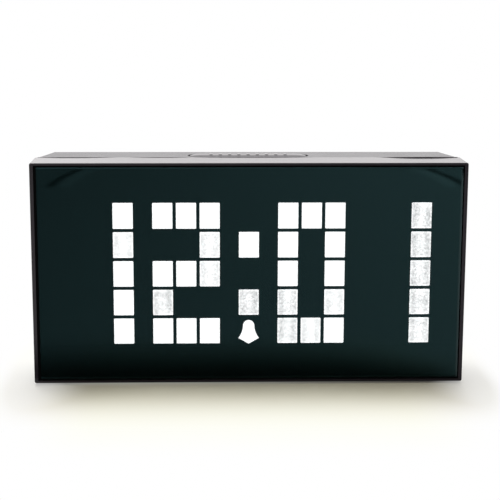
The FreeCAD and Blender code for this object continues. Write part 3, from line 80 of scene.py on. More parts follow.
# ---------------------------------------------------------------------------- shader graphs
class Signal:
    """An output of a shader graph. Arithmetic on it adds Math nodes."""

    def __init__(self, graph: "Graph", socket: bpy.types.NodeSocket) -> None:
        """Wraps one socket of a graph."""
        self.graph = graph
        self.socket = socket

    def math(self, operation: str, *operands: Any) -> "Signal":
        """Adds one Math node, with values or links in the order of its sockets."""
        return self.graph.node("ShaderNodeMath", {"operation": operation}, dict(enumerate(operands)))

    def __add__(self, other: Any) -> "Signal":
        """The sum."""
        return self.math("ADD", self, other)

    def __sub__(self, other: Any) -> "Signal":
        """The difference."""
        return self.math("SUBTRACT", self, other)

    def __rsub__(self, other: Any) -> "Signal":
        """The difference from a plain number."""
        return self.math("SUBTRACT", other, self)

    def __mul__(self, other: Any) -> "Signal":
        """The product."""
        return self.math("MULTIPLY", self, other)

    __radd__ = __add__
    __rmul__ = __mul__

    def __neg__(self) -> "Signal":
        """The negative."""
        return 0.0 - self

    def __abs__(self) -> "Signal":
        """The distance from 0."""
        return self.math("ABSOLUTE", self)

    def at_least(self, other: Any) -> "Signal":
        """The larger of the signal and another value."""
        return self.math("MAXIMUM", self, other)

    def at_most(self, other: Any) -> "Signal":
        """The smaller of the signal and another value."""
        return self.math("MINIMUM", self, other)

    def centred(self) -> "Signal":
        """A noise between 0 and 1, moved to swing about 0."""
        return self - NOISE_MIDDLE

    def ramp(self, low: float, high: float) -> "Signal":
        """Rises smoothly from 0 at low to 1 at high."""
        settings = {"interpolation_type": "SMOOTHSTEP"}
        return self.graph.node("ShaderNodeMapRange", settings, {0: self, 1: low, 2: high})


class Graph:
    """The node tree of one finish."""

    def __init__(self, tree: bpy.types.NodeTree) -> None:
        """Empties a node tree and takes it over."""
        tree.nodes.clear()
        self.tree = tree

    def node(
        self, kind: str, settings: dict[str, Any], inputs: dict[Any, Any], output: int | str = 0
    ) -> Signal:
        """Adds one node, sets it up and links it.

        Args:
            kind: The node's type.
            settings: Its properties, which are set first.
            inputs: The values or links of its sockets, by name or number.
            output: The output wanted.

        Returns:
            The wanted output.
        """
        made = self.tree.nodes.new(kind)
        for name, value in settings.items():
            setattr(made, name, value)
        for name, value in inputs.items():
            if isinstance(value, Signal):
                self.tree.links.new(value.socket, made.inputs[name])
            else:
                made.inputs[name].default_value = value
        return Signal(self, made.outputs[output])

    def place(self) -> Signal:
        """The Object coordinates, in metres."""
        return self.node("ShaderNodeTexCoord", {}, {}, "Object")

    def axis(self, name: str) -> Signal:
        """One of the Object coordinates."""
        return self.node("ShaderNodeSeparateXYZ", {}, {0: self.place()}, name)

    def attribute(self, name: str) -> Signal:
        """One of the piece's own attributes."""
        return self.node("ShaderNodeAttribute", {"attribute_name": name}, {}, "Fac")

    def ray(self, name: str) -> Signal:
        """1 for rays of one kind, 0 for the rest."""
        return self.node("ShaderNodeLightPath", {}, {}, name)

    def seen(self) -> Signal:
        """1 for rays from the camera and for those that gloss or glass passes on, 0 for the rest."""
        passed_on = self.ray("Is Glossy Ray").at_least(self.ray("Is Transmission Ray"))
        return self.ray("Is Camera Ray").at_least(passed_on)

    def noise(self, size: float, detail: float = 3.0, stretch: Triple = (1.0, 1.0, 1.0)) -> Signal:
        """Cloudy noise between 0 and 1.

        Args:
            size: The size of its spots, in metres.
            detail: How many finer layers it has.
            stretch: How much closer the spots lie along each axis.

        Returns:
            The noise.
        """
        mapped = self.node("ShaderNodeMapping", {}, {"Vector": self.place(), "Scale": stretch})
        return self.node("ShaderNodeTexNoise", {}, {"Vector": mapped, "Scale": 1.0 / size, "Detail": detail})

    @staticmethod
    def rgba(colour: Any) -> Any:
        """A plain colour with its alpha, or anything else as it is."""
        return (*colour, 1.0) if isinstance(colour, tuple) else colour

    def blend(self, share: Any, first: Any, second: Any, mode: str = "MIX") -> Signal:
        """Lays a share of a second colour over a first one, in one of the Mix node's modes."""
        settings = {"data_type": "RGBA", "blend_type": mode}
        return self.node("ShaderNodeMix", settings, {0: share, 6: self.rgba(first), 7: self.rgba(second)}, 2)

    def bump(self, height: Signal, depth: float) -> Signal:
        """A relief of the given depth in metres."""
        return self.node("ShaderNodeBump", {}, {"Height": height, "Distance": depth, "Strength": 1.0})

    def end_in(self, surface: Signal, kind: str = "ShaderNodeOutputMaterial") -> None:
        """Links a shader to a new output."""
        self.tree.links.new(surface.socket, self.tree.nodes.new(kind).inputs["Surface"])

    def end_in_principled(self, inputs: dict[str, Any]) -> None:
        """Ends the graph in the usual surface shader."""
        plain = {name: self.rgba(value) for name, value in inputs.items()}
        self.end_in(self.node("ShaderNodeBsdfPrincipled", {}, plain))

    def mixed(self, share: Signal, first: Signal, second: Signal) -> Signal:
        """Two shaders, mixed by a share of the second."""
        return self.node("ShaderNodeMixShader", {}, {0: share, 1: first, 2: second})


def new_material(name: str) -> tuple[bpy.types.Material, Graph]:
    """Makes an empty material.

    Args:
        name: Its name.

    Returns:
        The material and its graph.
    """
    material = bpy.data.materials.new(name)
    material.use_nodes = True
    return material, Graph(material.node_tree)


def scaled(colour: Colour, factor: float) -> Colour:
    """A colour, times a number."""
    return tuple(channel * factor for channel in colour)


# ---------------------------------------------------------------------------- finishes
@dataclass(frozen=True)
class Moulding:
    """A moulded plastic with the fine grain of a spark-eroded mould and slightly uneven gloss."""

    name: str
    colour: Colour
    roughness: float
    cloud: float = 18 * MM
    grain: float = 0.35 * MM
    relief: float = 0.012 * MM
    contrast: float = 0.9
    unevenness: float = 0.12
    lift: float = 0.002
    coat: float = 0.0
    coat_roughness: float = 0.10
    mirror: float = 0.5
    sheen_tint: Colour = (1.0, 1.0, 1.0)

    def skin(self, graph: Graph) -> Signal | float:
        """The weight of the glossy skin, which is the same all over."""
        return self.coat

    def material(self) -> bpy.types.Material:
        """Builds the finish: two sizes of noise vary colour and gloss, the finer one is the grain.

        Returns:
            The material.
        """
        material, graph = new_material(self.name)
        cloud = graph.noise(self.cloud)
        grain = graph.noise(self.grain, detail=1.5)
        brighter = scaled(self.colour, 1 + 2 * self.unevenness)
        lighter = tuple(min(1.0, channel + self.lift) for channel in brighter)
        share = cloud.centred() * self.contrast + NOISE_MIDDLE
        uneven = cloud.centred() * self.unevenness + grain.centred() * self.unevenness
        graph.end_in_principled(
            {
                "Base Color": graph.blend(share, self.colour, lighter),
                "Roughness": uneven + self.roughness,
                "Normal": graph.bump(grain, self.relief),
                "Specular IOR Level": self.mirror,
                "Specular Tint": self.sheen_tint,
                "Coat Tint": self.sheen_tint,
                "Coat Weight": self.skin(graph),
                "Coat Roughness": self.coat_roughness,
            }
        )
        return material


@dataclass(frozen=True)
class FrameMoulding(Moulding):
    """The front frame's moulding: its front face is duller than the rest, save for a painted sheen to the
    left.
    """

    coat_start: float = -22.72 * MM
    coat_rise: float = 0.5 * MM
    # painted sheen: the span over -X in which the glossy skin spreads onto the front face
    painted_left_reach: Span = (-60 * MM, 130 * MM)

    def skin(self, graph: Graph) -> Signal | float:
        """The glossy skin begins a little behind the front face and covers it only towards the left: a
        painted sheen.

        Args:
            graph: The finish's graph.

        Returns:
            The skin's weight.
        """
        behind = graph.axis("Y").ramp(self.coat_start, self.coat_start + self.coat_rise)
        # painted sheen: more glossy skin towards the left makes that side of the frame brighter
        left = (-graph.axis("X")).ramp(*self.painted_left_reach)
        return (behind * self.coat).at_least(left)


@dataclass(frozen=True)
class Metal:
    """A drawn, spun or plated metal with fine scratches along one axis."""

    name: str
    colour: Colour
    roughness: float
    stretch: Triple = (1.0, 1.0, 14.0)
    scratch: float = 1.2 * MM
    relief: float = 0.004 * MM
    unevenness: float = 0.3
    dulling: float = 0.72
    dulled_from: Span = (0.35, 0.75)

    def material(self) -> bpy.types.Material:
        """Builds the finish: noise drawn out along one axis makes the scratches.

        Returns:
            The material.
        """
        material, graph = new_material(self.name)
        scratches = graph.noise(self.scratch, stretch=self.stretch)
        worn = scratches.ramp(*self.dulled_from)
        graph.end_in_principled(
            {
                "Base Color": graph.blend(worn, self.colour, scaled(self.colour, self.dulling)),
                "Metallic": 1.0,
                "Roughness": scratches.centred() * self.unevenness + self.roughness,
                "Normal": graph.bump(scratches, self.relief),
            }
        )
        return material


@dataclass(frozen=True)
class SmokedAcrylic:
    """Polished, dark-tinted acrylic that lets only strong light through."""

    name: str = "smoked_acrylic"
    colour: Colour = (0.0015, 0.004, 0.0045)
    lightening: float = 1.5
    cover: float = 0.85
    gloss: float = 0.012
    gloss_swing: float = 0.02
    wiping: float = 26 * MM
    wiping_stretch: Triple = (1.0, 1.0, 2.2)
    mirror: float = 0.365
    mirror_tint: Colour = (0.42, 0.94, 1.0)
    # painted highlight: glossy skin along the face's right edge, and how far in from it it reaches
    edge_highlight: float = 0.42
    edge_highlight_reach: Span = (1.5 * MM, 0.6 * MM)

    @property
    def passed(self) -> float:
        """The share of light that comes through both faces of a sheet."""
        return (1.0 - self.cover) ** 2

    def material(self, right_edge: float) -> bpy.types.Material:
        """Builds the finish: faint wiping marks vary the gloss, and the cover is plain alpha.

        Args:
            right_edge: The X of the face's right edge, which a painted highlight makes brighter than the
                rest.

        Returns:
            The material.
        """
        material, graph = new_material(self.name)
        wiping = graph.noise(self.wiping, stretch=self.wiping_stretch)
        # painted highlight: extra glossy skin only along the right edge
        highlighted = graph.axis("X").ramp(*(right_edge - reach for reach in self.edge_highlight_reach))
        graph.end_in_principled(
            {
                "Base Color": graph.blend(wiping, self.colour, scaled(self.colour, self.lightening)),
                "Roughness": wiping * self.gloss_swing + self.gloss,
                "Alpha": self.cover,
                "Specular IOR Level": self.mirror,
                "Specular Tint": self.mirror_tint,
                "Coat Weight": highlighted * self.edge_highlight,
            }
        )
        return material


@dataclass(frozen=True)
class LitDiffuser:
    """A light window: an even glow, or a grainy one with duller sides where its LED is faint."""

    name: str = "lit_window"
    colour: Colour = (0.8, 0.8, 0.8)
    roughness: float = 0.5
    grain: float = 0.95 * MM
    graininess: float = 1.35
    patch: float = 4.75 * MM
    patchiness: float = 0.4725
    even_from: Span = (0.90, 1.2)
    side_reach: Span = (0.15, 0.6)
    side_dulling: float = 0.20
    rim_reach: Span = (0.8, 0.97)
    rim_light: float = 0.24

    def material(self, passed: float) -> bpy.types.Material:
        """Builds the finish.

        The piece's attribute "glow" is each window's level, "edge" runs from 0 at a window's middle to 1
        at its edge, and "across" from -1 at one side to 1 at the other.

        Args:
            passed: The share of the light that the panel in front lets through.

        Returns:
            The material.
        """
        material, graph = new_material(self.name)
        glow = graph.attribute("glow")
        faint = 1.0 - glow.ramp(*self.even_from)
        mottle = graph.noise(self.grain).centred() * self.graininess
        uneven = mottle + graph.noise(self.patch, detail=1.0).centred() * self.patchiness
        sides = abs(graph.attribute("across")).ramp(*self.side_reach) * self.side_dulling
        rim = graph.attribute("edge").ramp(*self.rim_reach) * self.rim_light
        level = glow + faint * (uneven + rim - sides)
        graph.end_in_principled(
            {
                "Base Color": self.colour,
                "Roughness": self.roughness,
                "Emission Color": graph.node("ShaderNodeCombineColor", {}, {0: level, 1: level, 2: level}),
                "Emission Strength": 1.0 / passed,
            }
        )
        return material


# ---------------------------------------------------------------------------- the clock's own finishes
CASE_SHEEN = (1.0, 0.945, 0.96)
CASE_FRONT = FrameMoulding(
    "satin_black_front", (0.016, 0.014, 0.020), 0.17, relief=0.003 * MM, coat=0.66, mirror=0.19,
    sheen_tint=CASE_SHEEN,
)
CASE_REAR = Moulding(
    "satin_black_rear", (0.022, 0.019, 0.024), 0.27, relief=0.006 * MM, coat=0.22, sheen_tint=CASE_SHEEN
)
# painted shade: a near-black, barely glossy band for the gap round the panel
GAP_SHADE = Moulding("painted_gap_shade", (0.0015, 0.002, 0.0025), 0.9, mirror=0.08)
PRINT = Moulding("pale_print", (0.55, 0.55, 0.56), 0.6, grain=0.2 * MM)
KEY_CAP = Moulding("key_black", (0.030, 0.030, 0.033), 0.45, relief=0.02 * MM)
INNER_BLACK = Moulding("inner_black", (0.015, 0.015, 0.016), 0.6)
FILM = Moulding("smoked_film", (0.05, 0.05, 0.052), 0.5, relief=0.002 * MM)
RUBBER = Moulding("soft_rubber", (0.022, 0.022, 0.022), 0.85, grain=0.6 * MM, relief=0.05 * MM)
NYLON = Moulding("natural_nylon", (0.78, 0.74, 0.64), 0.42)
EPOXY = Moulding("chip_epoxy", (0.020, 0.020, 0.021), 0.55, grain=0.15 * MM, relief=0.02 * MM)
SOLDER_MASK = Moulding("solder_mask", (0.015, 0.11, 0.045), 0.28, coat=0.4)
PHOSPHOR = Moulding("led_phosphor", (0.85, 0.78, 0.42), 0.35)
LEAD = Moulding("grey_lead", (0.42, 0.42, 0.44), 0.5)
SWITCH = Moulding("switch_housing", (0.018, 0.018, 0.018), 0.4)
PLUNGER = Moulding("plunger_grey", (0.10, 0.10, 0.10), 0.4)
CERAMIC = Moulding("chip_ceramic", (0.05, 0.05, 0.06), 0.4)
PLATED = Metal("screw_plating", (0.55, 0.54, 0.52), 0.3, stretch=(3.0, 1.0, 3.0))
NICKEL = Metal("sprung_nickel", (0.66, 0.62, 0.54), 0.22)
STEEL = Metal("plated_steel", (0.62, 0.61, 0.60), 0.32)
CAN = Metal("drawn_can", (0.74, 0.74, 0.75), 0.25)
CELL = Metal("spun_cell", (0.70, 0.69, 0.67), 0.28, stretch=(6.0, 1.0, 1.0))


# ---------------------------------------------------------------------------- surfaces
def link(made: bpy.types.Object) -> None:
    """Puts an object in the scene."""
    bpy.context.scene.collection.objects.link(made)


@dataclass
class Skin:
    """The points and faces of one or more surfaces, as arrays."""

    points: np.ndarray
    quads: np.ndarray
    triangles: np.ndarray
    attributes: dict[str, np.ndarray] = field(default_factory=dict)

    @classmethod
    def of_rings(cls, rings: np.ndarray, ends: tuple[Triple, Triple]) -> "Skin":
        """Joins rings of equal point counts into a closed surface, with a point at each end.

        Args:
            rings: The points, by ring, place on the ring and axis.
            ends: The points that close the surface before the first ring and after the last.

        Returns:
            The surface. Its faces point outwards if the rings run anticlockwise about the way they go.
        """
        count, around = rings.shape[:2]
        index = np.arange(count * around).reshape(count, around)
        after = np.roll(index, -1, axis=1)
        quads = np.stack([index[:-1], after[:-1], after[1:], index[1:]], axis=-1).reshape(-1, 4)
        first, last = count * around, count * around + 1
        closing = [
            np.stack([np.full(around, first), after[0], index[0]], axis=-1),
            np.stack([index[-1], after[-1], np.full(around, last)], axis=-1),
        ]
        points = np.concatenate([rings.reshape(-1, 3), np.array(ends, float)])
        return cls(points, quads, np.concatenate(closing))

    @classmethod
    def of_loops(cls, rings: np.ndarray) -> "Skin":
        """Joins rings of equal point counts into a closed ring, the last back to the first.

        Args:
            rings: The points, by ring, place on the ring and axis.

        Returns:
            The surface, with its faces outwards on the same terms as that of rings with ends.
        """
        count, around = rings.shape[:2]
        index = np.arange(count * around).reshape(count, around)
        after, onward = np.roll(index, -1, axis=1), np.roll(index, -1, axis=0)
        quads = np.stack([index, after, np.roll(after, -1, axis=0), onward], axis=-1)
        return cls(rings.reshape(-1, 3), quads.reshape(-1, 4), np.empty((0, 3), int))

    def moved(self, x: float, y: float, z: float) -> "Skin":
        """The surface, moved."""
        return Skin(self.points + (x, y, z), self.quads, self.triangles, self.attributes)

    def repeated(self, places: np.ndarray) -> "Skin":
        """Copies the surface.

        Args:
            places: How far each copy is moved, by copy and axis.

        Returns:
            The copies as one surface.
        """
        shift = (np.arange(len(places)) * len(self.points))[:, None, None]
        points = (places[:, None, :] + self.points).reshape(-1, 3)
        quads = (self.quads + shift).reshape(-1, 4)
        attributes = {name: np.tile(values, len(places)) for name, values in self.attributes.items()}
        return Skin(points, quads, (self.triangles + shift).reshape(-1, 3), attributes)

    @staticmethod
    def joined(skins: Sequence["Skin"]) -> "Skin":
        """Makes several surfaces one.

        Args:
            skins: The surfaces, which have the same attributes.

        Returns:
            The one surface.
        """
        starts = np.cumsum([0] + [len(skin.points) for skin in skins[:-1]])
        names = skins[0].attributes
        return Skin(
            np.concatenate([skin.points for skin in skins]),
            np.concatenate([skin.quads + start for skin, start in zip(skins, starts)]),
            np.concatenate([skin.triangles + start for skin, start in zip(skins, starts)]),
            {name: np.concatenate([skin.attributes[name] for skin in skins]) for name in names},
        )

    def object(self, name: str, material: bpy.types.Material) -> bpy.types.Object:
        """Makes the surface an object.

        Args:
            name: The object's name.
            material: Its finish.

        Returns:
            The object, linked to the scene.
        """
        mesh = bpy.data.meshes.new(name)
        mesh.from_pydata(self.points.tolist(), [], self.quads.tolist() + self.triangles.tolist())
        mesh.materials.append(material)
        mesh.update()
        normals = np.empty(len(mesh.polygons) * 3)
        mesh.polygons.foreach_get("normal", normals)
        smooth = np.abs(normals.reshape(-1, 3)).max(axis=1) < FLAT_FACE
        mesh.polygons.foreach_set("use_smooth", smooth)
        for key, values in self.attributes.items():
            mesh.attributes.new(key, "FLOAT", "POINT").data.foreach_set("value", values)
        made = bpy.data.objects.new(name, mesh)
        link(made)
        return made


def rounded_outlines(
    half_a: np.ndarray, half_b: np.ndarray, radius: np.ndarray, per_corner: int
) -> np.ndarray:
    """Outlines of rounded rectangles that run anticlockwise, or of stadiums if the radius is half_b.

    Each corner is a quarter circle about a point one radius inside the rectangle's corner.

    Args:
        half_a: Half the width of each outline.
        half_b: Half the height of each outline.
        radius: The corner radius of each outline.
        per_corner: The number of points on each quarter circle.

    Returns:
        The points, by outline, place on the outline and axis.
    """
    quarter = np.linspace(0, math.pi / 2, per_corner)
    turn = (quarter[None, :] + np.arange(4)[:, None] * math.pi / 2).ravel()
    sign_a = np.repeat([1, -1, -1, 1], per_corner)
    sign_b = np.repeat([1, 1, -1, -1], per_corner)
    a = sign_a * (half_a - radius)[:, None] + radius[:, None] * np.cos(turn)
    b = sign_b * (half_b - radius)[:, None] + radius[:, None] * np.sin(turn)
    return np.stack([a, b], axis=-1)


def facing_front(outlines: np.ndarray, y: np.ndarray) -> np.ndarray:
    """Stands outlines square to Y, each at its own y; the last is nearest to the front."""
    depth = np.broadcast_to(y[:, None], outlines.shape[:2])
    return np.stack([outlines[..., 0], depth, outlines[..., 1]], axis=-1)


def facing_back(outlines: np.ndarray, y: np.ndarray) -> np.ndarray:
    """Stands outlines square to Y, mirrored so that they read from behind; the last is rearmost."""
    return facing_front(outlines, y) * (-1, 1, 1)


def facing_up(outlines: np.ndarray, z: np.ndarray) -> np.ndarray:
    """Lays outlines square to Z, each at its own height; the last is on top."""
    height = np.broadcast_to(z[:, None, None], (*outlines.shape[:2], 1))
    return np.concatenate([outlines, height], axis=-1)


def spun(radii: np.ndarray, y: np.ndarray, around: int) -> np.ndarray:
    """Turns a profile about the Y axis.

    Args:
        radii: The profile's distance from the axis at each of its points.
        y: Its place along the axis at each of its points.
        around: The number of points on each circle.

    Returns:
        Circles that run anticlockwise about +Y, by circle, place on the circle and axis.
    """
    turn = np.linspace(0, 2 * math.pi, around, endpoint=False)
    x, z = radii[:, None] * np.sin(turn), radii[:, None] * np.cos(turn)
    return np.stack([x, np.broadcast_to(y[:, None], x.shape), z], axis=-1)


def quarter_round(steps: int) -> tuple[np.ndarray, np.ndarray]:
    """How far a rounded edge has gone in and forward at each step, as shares of its radius."""
    turn = np.linspace(0, math.pi / 2, steps)
    return 1 - np.cos(turn), np.sin(turn)


def spaced(count: int, pitch: float) -> np.ndarray:
    """Places in a row along X, about X = 0."""
    return (np.arange(count) - (count - 1) / 2)[:, None] * (pitch, 0.0, 0.0)


def rear_middle(name: str) -> Triple:
    """The middle of a construction piece's rear face."""
    low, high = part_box(name)
    return (low.x + high.x) / 2, high.y, (low.z + high.z) / 2


# ---------------------------------------------------------------------------- display
class Glow(Enum):
    """How strongly a light window shows, as its level over that of plain white."""

    BRIGHT = 1.12
    TIRED = 1.02
    FAINT = 0.95


WINDOW_MARKS = {"#": Glow.BRIGHT, "+": Glow.TIRED, "o": Glow.FAINT}


@dataclass(frozen=True)
class Bell:
    """The alarm's bell."""

    width: float = 10.1 * MM
    height: float = 11.9 * MM
    dome: float = 2.75 * MM
    lip: float = 2.9 * MM
    flare: float = 10.5 * MM
    flare_points: int = 9
    dome_points: int = 17

    def outline(self) -> np.ndarray:
        """The outline: a half circle over two flaring arcs, and a mouth drawn to a point.

        Each flaring arc runs from a foot to the half circle's end. Its centre lies on the line that
        halves its chord, as far out as the arc's radius asks.

        Returns:
            The points about the bell's middle, anticlockwise from the mouth's point.
        """
        shoulder, lip = self.height / 2 - self.dome, self.lip - self.height / 2
        start, foot = np.array([self.dome, shoulder]), np.array([self.width / 2, lip])
        run = foot - start
        chord = np.hypot(*run)
        outward = np.array([-run[1], run[0]]) / chord
        centre = (start + foot) / 2 + outward * math.sqrt(self.flare**2 - chord**2 / 4)
        begin, end = (math.atan2(*(spot - centre)[::-1]) % (2 * math.pi) for spot in (foot, start))
        turn = np.linspace(begin, end, self.flare_points)[:-1]
        arc = centre + self.flare * np.stack([np.cos(turn), np.sin(turn)], axis=-1)
        turn = np.linspace(0, math.pi, self.dome_points)
        top = np.stack([np.cos(turn), np.sin(turn)], axis=-1) * self.dome + (0, shoulder)
        tip = np.array([[0.0, -self.height / 2]])
        return np.concatenate([tip, arc, top, arc[::-1] * (-1, 1)])


@dataclass
class Display:
    """The smoked panel and the lit windows behind it, which read 12:01 with the alarm's bell."""

    column_pitch: float = 11.4 * MM
    row_pitch: float = 14.26 * MM
    inner_digit: float = 30.36 * MM
    outer_digit: float = 72.21 * MM
    window_width: float = 9.70 * MM
    window_height: float = 12.62 * MM
    window_corner: float = 0.35 * MM
    window_round: float = 0.05 * MM
    window_steps: int = 4
    window_shares: Triple = (0.9, 0.7, 0.4)
    window_gap: float = 0.02 * MM
    window_thickness: float = 0.07 * MM
    sideways_play: float = -0.29 * MM
    sunk_play: float = -0.22 * MM
    bell: Bell = Bell()
    bell_drop: float = 0.65 * MM
    bell_shares: tuple[float, ...] = (1.0, 1.0, 0.97, 0.85, 0.5)
    panel_edge: float = 1.0 * MM
    panel_fall: float = 0.25 * MM
    panel_steps: int = 7
    panel_corner: float = 0.6 * MM
    corner_points: int = 6
    corner_tightening: float = 0.2
    least_corner: float = 0.1 * MM
    panel_play: float = 0.42 * MM
    rebate_width: float = 0.78 * MM
    rebate_depth: float = 0.9 * MM
    film_gap: float = 0.12 * MM
    border_thickness: float = 0.06 * MM
    border_sunk: float = 0.02 * MM
    border_corner: float = 0.35 * MM
    acrylic: SmokedAcrylic = SmokedAcrylic()
    glyphs: tuple[tuple[str, ...], ...] = (
        ("..#", "..+", "..#", "..#", "..#"),
        ("###", "..+", "##+", "o..", "###"),
        ("###", "#.#", "#.#", "o.+", "o+#"),
        ("..o", "..o", "..o", "..o", "..o"),
    )
    colon: tuple[str, str] = ("#", "o")

    def windows(self) -> list[tuple[float, float, Glow]]:
        """Reads the glyphs.

        Returns:
            Where each lit window's middle lies from the display's middle, and its level.
        """
        lit = []
        middles = (-self.outer_digit, -self.inner_digit, self.inner_digit, self.outer_digit)
        for middle, rows in zip(middles, self.glyphs):
            for row, marks in enumerate(rows):
                for column, mark in enumerate(marks):
                    if mark in WINDOW_MARKS:
                        x = middle + (column - 1) * self.column_pitch
                        lit.append((x, (2 - row) * self.row_pitch, WINDOW_MARKS[mark]))
        for mark, up in zip(self.colon, (1, -1)):
            lit.append((0.0, up * self.row_pitch, WINDOW_MARKS[mark]))
        return lit

    def panel_rings(self, inset: np.ndarray, radius: np.ndarray, y: np.ndarray) -> np.ndarray:
        """Stands outlines in the panel's place. Those after the second have its face's play to the side.

        Args:
            inset: How far each outline is drawn in from the panel's edge.
            radius: The corner radius of each outline.
            y: The place of each outline.

        Returns:
            The points, by outline, place on the outline and axis.
        """
        low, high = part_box("front_panel")
        half_x, half_z = (high.x - low.x) / 2, (high.z - low.z) / 2
        outlines = rounded_outlines(half_x - inset, half_z - inset, radius, self.corner_points)
        rings = facing_front(outlines, y)
        rings[2:, :, 0] += self.panel_play
        rings[..., 2] += (low.z + high.z) / 2
        return rings

    def panel(self) -> bpy.types.Object:
        """Makes the acrylic panel: a raised face with rounded edges, a rebate round it and a flat back.

        Returns:
            The panel.
        """
        low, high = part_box("front_panel")
        back, front = high.y - self.film_gap, low.y
        step = front + self.rebate_depth
        inward, forward = quarter_round(self.panel_steps)
        inset = np.concatenate([[0.0, 0.0, self.rebate_width], self.rebate_width + self.panel_edge * inward])
        y = np.concatenate([[back, step, step], front + self.panel_fall * (1 - forward)])
        radius = np.maximum(self.panel_corner - inset * self.corner_tightening, self.least_corner)
        middle_z = (low.z + high.z) / 2
        ends = ((0, back, middle_z), (0, front, middle_z))
        right_edge = high.x - self.rebate_width + self.panel_play
        finish = self.acrylic.material(right_edge)
        made = Skin.of_rings(self.panel_rings(inset, radius, y), ends).object("smoked_panel", finish)
        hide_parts("front_panel")
        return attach(made, "case")

    def border(self) -> bpy.types.Object:
        """Makes a near-black matt band on the panel's rebate, as a thin flat frame: painted shade round the
        panel.

        Returns:
            The border.
        """
        low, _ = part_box("front_panel")
        inner = self.rebate_width - self.border_sunk
        inset = np.array([0.0, 0.0, inner, inner])
        radius = np.array([self.panel_corner, self.panel_corner, self.border_corner, self.border_corner])
        sunk, raised = self.border_sunk, -self.border_thickness
        y = low.y + self.rebate_depth + np.array([sunk, raised, raised, sunk])
        # painted shade: the band darkens the gap between the panel and the frame
        made = Skin.of_loops(self.panel_rings(inset, radius, y)).object("panel_gap_shade", GAP_SHADE.material())
        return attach(made, "case")

    @staticmethod
    def lit_tile(rings: np.ndarray, y: np.ndarray, edge: np.ndarray, half_width: float) -> Skin:
        """Closes the outlines of a thin lit tile about X = Z = 0.

        Args:
            rings: Its outlines, by outline, place on the outline and axis.
            y: The place of each outline.
            edge: How near each outline is to the tile's edge, from 0 to 1.
            half_width: Half the tile's width.

        Returns:
            The tile, with the attributes that the lit finish reads.
        """
        skin = Skin.of_rings(rings, ((0, y[0], 0), (0, y[-1], 0)))
        skin.attributes["edge"] = np.concatenate([np.repeat(edge, rings.shape[1]), [1.0, 0.0]])
        skin.attributes["across"] = skin.points[:, 0] / half_width
        return skin

    def window_skin(self) -> Skin:
        """Makes one light window, with rounded corners and edges and its back at Y = 0.

        Returns:
            The tile.
        """
        inward, forward = quarter_round(self.window_steps)
        share = np.array(self.window_shares)
        inset = np.concatenate([[0.0], self.window_round * inward])
        half_width, half_height = self.window_width / 2, self.window_height / 2
        half_x = np.concatenate([half_width - inset, half_width * share])
        half_z = np.concatenate([half_height - inset, half_height * share])
        radius = np.concatenate([np.full(len(inset), self.window_corner), self.window_corner * share])
        rise = np.concatenate([self.window_round * (1 - forward), np.zeros(len(share))])
        y = np.concatenate([[0.0], rise - self.window_thickness])
        rings = facing_front(rounded_outlines(half_x, half_z, radius, self.window_steps), y)
        return self.lit_tile(rings, y, half_x / half_width, half_width)

    def bell_skin(self) -> Skin:
        """Makes the bell, with its back at Y = 0.

        Returns:
            The tile.
        """
        share = np.array(self.bell_shares)
        y = np.full(len(share), -self.window_thickness)
        y[:2] = 0.0, self.window_round - self.window_thickness
        rings = facing_front(self.bell.outline() * share[:, None, None], y)
        return self.lit_tile(rings, y, share, self.bell.width / 2)

    def light_windows(self) -> bpy.types.Object:
        """Makes all lit windows and the bell, as thin tiles on the film behind the panel.

        Returns:
            The windows.
        """
        low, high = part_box("diffuser_film")
        middle_z = (low.z + high.z) / 2 + self.sunk_play
        middle = np.array([self.sideways_play, low.y - self.window_gap, middle_z])
        lit = self.windows()
        tile = self.window_skin()
        tiles = tile.repeated(middle + np.array([(x, 0.0, z) for x, z, _ in lit]))
        tiles.attributes["glow"] = np.repeat([level.value for _, _, level in lit], len(tile.points))
        bell = self.bell_skin().moved(*(middle - (0.0, 0.0, 2 * self.row_pitch + self.bell_drop)))
        bell.attributes["glow"] = np.full(len(bell.points), Glow.BRIGHT.value)
        material = LitDiffuser().material(self.acrylic.passed)
        made = Skin.joined([tiles, bell]).object("light_windows", material)
        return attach(made, "case")

    def build(self) -> None:
        """Makes the display's pieces."""
        for made in (self.panel(), self.border(), self.light_windows()):
            LOG.info("made %s", made.name)


